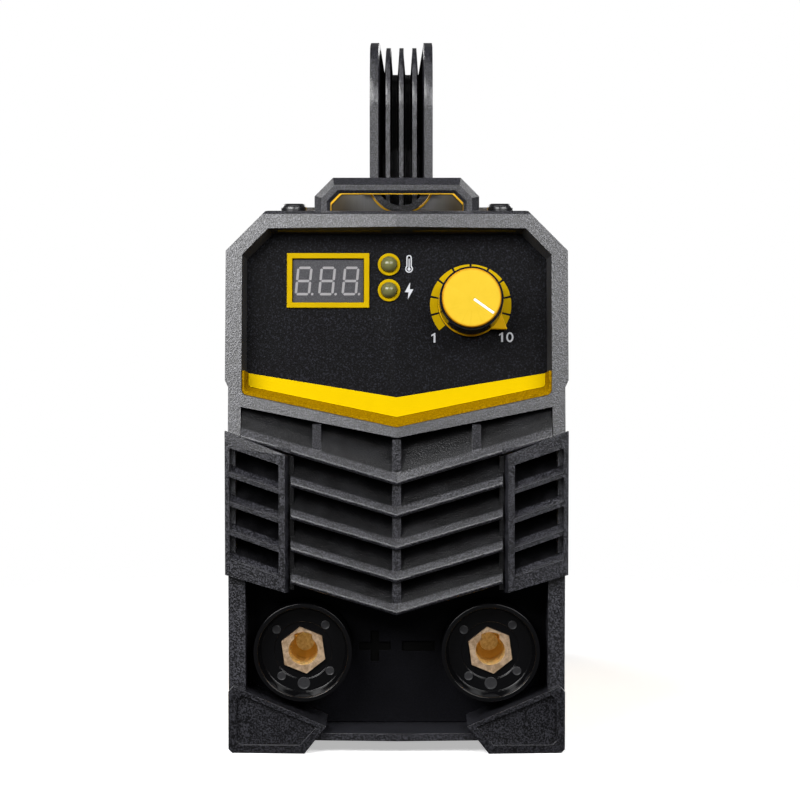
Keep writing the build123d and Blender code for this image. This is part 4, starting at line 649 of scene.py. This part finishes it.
def knob_scale():
    """Ten printed arcs round the knob with narrow gaps, open at the bottom."""
    reach, gap, count = 131.0, 3.2, 10      # degrees, but for the count
    pitch = 2 * reach / count
    starts = -reach + pitch * np.arange(count) + gap / 2
    radius_in, radius_out, proud = 10.5 * MM, 13.0 * MM, 0.08 * MM
    arcs = [arc_bar(radius_in, radius_out, first, first + pitch - gap, -bedded, proud)
            for first in starts]
    return swept_piece("knob_scale", arcs, "yellow_plastic")


def index_line():
    """White inlay in the groove of the knob's cap: a bar from near its middle to near its rim."""
    vertices = nodes["knob_cap"].data.vertices
    cap = np.empty(len(vertices) * 3)
    vertices.foreach_get("co", cap)
    cap_top = ((cap.reshape(-1, 3) - knob_foot) @ panel_out).max()
    turn, inner, outer, half_width = math.radians(-35.5), 0.9, 8.5, 0.37
    along = np.array([math.cos(turn), math.sin(turn)])
    wide = np.array([-math.sin(turn), math.cos(turn)])
    ends = (np.array([inner, inner, outer, outer])[:, None] * along
            + np.array([-half_width, half_width, half_width, -half_width])[:, None] * wide)
    bar = plaque(ends * MM, knob_foot[0], knob_foot[2], cap_top - 0.3 * MM, cap_top - 0.03 * MM)
    return swept_piece("index_line", [bar], "inlay_white", "knob")


def display_digits():
    """Three unlit seven-bar figures with their points: pointed bars, all leaning to the right."""
    centre = middle("display_bezel")
    tall, wide, stroke, pitch, slant, mitre = 8.5, 4.2, 0.78, 7.5, 0.095, 0.35
    unit = np.array([(-0.5, 0.0), (-0.42, 0.5), (0.42, 0.5),
                     (0.5, 0.0), (0.42, -0.5), (-0.42, -0.5)])
    flat = unit * [wide - mitre, stroke]
    upright = unit[:, ::-1] * [stroke, tall / 2 - mitre]
    bars = [flat + [0, shift] for shift in (-tall / 2, 0, tall / 2)]
    bars += [upright + [side * wide / 2, shift * tall / 4] for side in (-1, 1) for shift in (-1, 1)]
    point_radius, point_gap = 0.42, 1.05
    turn = np.linspace(0, 2 * np.pi, 12, endpoint=False)
    disc = np.stack([np.cos(turn), np.sin(turn)], 1) * point_radius
    bars.append(disc + [wide / 2 + point_gap, -tall / 2])
    aside, below = 0.35, 0.1        # the middle figure's place off the window's middle
    low, high = -0.3 * MM - bedded, -0.3 * MM + 0.03 * MM
    rows = []
    for figure in (-1, 0, 1):
        for bar in bars:
            leaning = bar + [figure * pitch - aside, -below]
            leaning[:, 0] += bar[:, 1] * slant
            rows.append(plaque(leaning * MM, centre.x, centre.z, low, high))
    return swept_piece("display_digits", rows, "digit_grey")


def thermometer_outline(bulb, stem, tall):
    """Round bulb below a round-ended stem, of two radii and a height.

    The bulb's arc starts and ends where the stem's sides meet it, at the arcsine of the stem's
    radius over the bulb's from its top; the stem ends in half a circle.
    """
    meet = math.asin(stem / bulb)
    low = np.linspace(math.pi / 2 - meet, -1.5 * math.pi + meet, 28)
    high = np.linspace(math.pi, 0, 12)
    bulb_arc = np.stack([np.cos(low), np.sin(low)], 1) * bulb + [0, bulb - tall / 2]
    stem_arc = np.stack([np.cos(high), np.sin(high)], 1) * stem + [0, tall / 2 - stem]
    return np.concatenate([bulb_arc, stem_arc])


def lamp_marks():
    """Thermometer beside the upper lamp and a bolt beside the lower one."""
    low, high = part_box("lamp_rings")
    across, inset = high.x + 2.8 * MM, 3.4 * MM
    top, bottom = high.z - inset, low.z + inset

    def thermometer(bulb, stem, tall, drop, low_rise, high_rise):
        outline = thermometer_outline(bulb, stem, tall) * MM
        return plaque(outline, across, top - drop, low_rise, high_rise)

    case = thermometer(1.22, 0.85, 5.7, 0.0, -bedded, 0.05 * MM)
    glass = thermometer(0.86, 0.5, 5.0, 0.0, 0.0, 0.07 * MM)
    column = thermometer(0.5, 0.16, 3.9, 0.25 * MM, 0.0, 0.09 * MM)
    zigzag = np.array([(0.25, 1.0), (-0.95, -0.14), (-0.12, -0.14),
                       (-0.3, -1.0), (0.95, 0.2), (0.15, 0.2)])
    half_size = [1.45 * MM, 2.75 * MM]
    bolt = plaque(zigzag * half_size, across, bottom, -bedded, 0.06 * MM)
    swept_piece("lamp_marks", [case, column, bolt], "printed_white")
    swept_piece("thermometer_glass", [glass], "black_panel")


def scale_numbers():
    """A plain 1 and 10 at the two ends of the scale: barred stems with a flag and an oval ring.

    The ring is a rectangular profile carried round an ellipse, with its own reach across and up.
    """
    stem = np.array([(0.02, 1.55), (0.42, 1.55), (0.42, -1.55), (-0.18, -1.55),
                     (-0.18, 0.82), (-0.85, 0.42), (-0.85, 0.95), (-0.25, 1.25)])
    proud = 0.06 * MM
    solids = [plaque(stem * MM, across * MM, height * MM, -bedded, proud)
              for across, height in ((11.9, 131.0), (33.5, 131.2))]
    ring_x, ring_z = 36.1 * MM, 131.2 * MM
    turn = np.radians(np.linspace(0, 360, 33))[:, None]
    reach_across, reach_up = np.array([0.62, 1.15, 1.15, 0.62]), np.array([1.08, 1.6, 1.6, 1.08])
    across = ring_x + np.sin(turn) * reach_across * MM
    height = ring_z + np.cos(turn) * reach_up * cos_lean * MM
    rise = np.array([-bedded, -bedded, proud, proud])
    solids.append(on_panel(across, height, np.broadcast_to(rise, across.shape)))
    return swept_piece("scale_numbers", solids, "printed_white")


def recess_line():
    """Two narrow gold strips on the roof of the control recess, either side of its middle, dim as
    painted shade under the frame's overhang.

    A rectangular profile of depths and lifts is carried along X. The roof is 165.04 mm high at
    Y -92.5 mm and falls backwards with a slope of 0.231.
    """
    y, lift = np.array([(-93.1, 0.05), (-92.0, 0.05), (-92.0, -0.12), (-93.1, -0.12)]).T * MM
    roof = 165.04 * MM - 0.231 * (y + 92.5 * MM)
    strips = []
    for side in (-1, 1):
        x = np.array([5.0, 38.0])[:, None] * MM * side
        strips.append(np.stack(np.broadcast_arrays(x, y, roof + lift), -1))
    # the strips' dim gold is painted shade
    return swept_piece("recess_line", strips, "dim_gold")


def turned(profile, centre, steps=40):
    """Solid of revolution about a line along Y: radius and depth pairs turned round a centre."""
    radius, depth = np.asarray(profile).T
    turn = np.linspace(0, 2 * np.pi, steps, endpoint=False)[None, :]
    across = centre[0] + radius[:, None] * np.cos(turn)
    height = centre[1] + radius[:, None] * np.sin(turn)
    return np.stack([across, np.broadcast_to(depth[:, None], across.shape), height], -1)


def socket_pips(side):
    """Four low round pips and a plain disc, each with a raised rim, on a socket shell's face."""
    shell = socket_middles[side]
    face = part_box("socket_housing_" + side)[0].y + 5.5 * MM
    rim = np.array([(1.0, -0.03), (1.0, 0.06), (0.86, 0.12), (0.76, 0.05), (0.02, 0.05)])
    pip, disc = (10.8, 1.4), (10.6, 2.0)        # reach from the socket's axis and radius
    solids = []
    for degrees, (reach, radius) in ((142, pip), (49, pip), (230, pip), (322, pip), (271, disc)):
        turn = math.radians(degrees)
        centre = (shell.x + reach * MM * math.cos(turn), shell.z + reach * MM * math.sin(turn))
        profile = np.stack([rim[:, 0] * radius * MM, face - rim[:, 1] * MM], 1)
        solids.append(turned(profile, centre))
    return swept_piece("socket_pips_" + side, solids, "pip_grey")


knob_scale()
index_line()
display_digits()
lamp_marks()
scale_numbers()
recess_line()
for side in ("left", "right"):
    socket_pips(side)

# ---------------------------------------------------------------- floor, light, camera
scene = bpy.context.scene


def floor():
    """Pale paper under the object that fades into the white room."""
    mesh = bpy.data.meshes.new("floor")
    reach, fade = 0.5, (0.17, 0.36)
    corners = [(-reach, -reach, 0), (reach, -reach, 0), (reach, reach, 0), (-reach, reach, 0)]
    mesh.from_pydata(corners, [], [(0, 1, 2, 3)])
    f = Finish("floor_paper", roughness=0.8, specular_ior_level=0.1,
               emission_color=(1.0, 1.0, 1.0), emission_strength=0.45)
    x, y, _ = f.axes()
    f.feed("Base Color", f.blend(f.noise(0.4, 2.0), (0.84, 0.84, 0.84), (0.88, 0.88, 0.88)))
    f.feed("Alpha", 1 - (x ** 2 + y ** 2).root().step(*fade))
    mesh.materials.append(f.material)
    made = bpy.data.objects.new("floor", mesh)
    made.visible_glossy = False
    made.visible_diffuse = False
    scene.collection.objects.link(made)


def softbox(name, place, aim, size, power):
    """Rectangular area light at a place, facing a point."""
    light = bpy.data.lights.new(name, "AREA")
    light.shape = "RECTANGLE"
    light.size, light.size_y = size
    light.energy = power
    made = bpy.data.objects.new(name, light)
    made.location = place
    made.rotation_euler = (Vector(aim) - Vector(place)).to_track_quat("-Z", "Y").to_euler()
    scene.collection.objects.link(made)


def surroundings():
    """Dim pale room for the light, white behind the object."""
    world = bpy.data.worlds.new("room")
    world.use_nodes = True
    tree = world.node_tree
    background = tree.nodes["Background"]
    background.inputs["Color"].default_value = (1, 1, 1, 1)
    path = tree.nodes.new("ShaderNodeLightPath")
    spread = tree.nodes.new("ShaderNodeMapRange")
    tree.links.new(path.outputs["Is Camera Ray"], spread.inputs["Value"])
    dim, white = 0.05, 1.0
    spread.inputs["To Min"].default_value = dim
    spread.inputs["To Max"].default_value = white
    tree.links.new(spread.outputs["Result"], background.inputs["Strength"])
    scene.world = world


floor()
surroundings()
softbox("left_softbox", (-0.27, -0.46, 0.37), (0.0, -0.1, 0.13), (0.40, 0.26), 3.6)
softbox("right_softbox", (0.27, -0.46, 0.37), (0.0, -0.1, 0.13), (0.40, 0.26), 2.1)
softbox("front_fill", (0.0, -1.3, 0.08), (0.0, -0.1, 0.1), (1.0, 0.36), 0.16)
softbox("top_strip", (0.0, -0.2, 0.8), (0.0, -0.1, 0.1), (0.9, 0.2), 0.8)
softbox("back_left_softbox", (-0.86, 1.23, 0.67), (0.0, 0.0, 0.12), (0.8, 0.6), 12)
softbox("back_right_softbox", (0.86, 1.23, 0.67), (0.0, 0.0, 0.12), (0.8, 0.6), 12)

lens = bpy.data.cameras.new("camera")
lens.sensor_width, lens.lens = 36.0, 136.6
tilt_down, turn_left = 3.958, 0.156
camera = bpy.data.objects.new("camera", lens)
camera.location = (3.65 * MM, -1062.5 * MM, 178.1 * MM)
camera.rotation_euler = (math.radians(90 - tilt_down), 0.0, math.radians(turn_left))
scene.collection.objects.link(camera)
scene.camera = camera
scene.view_settings.view_transform = "Standard"
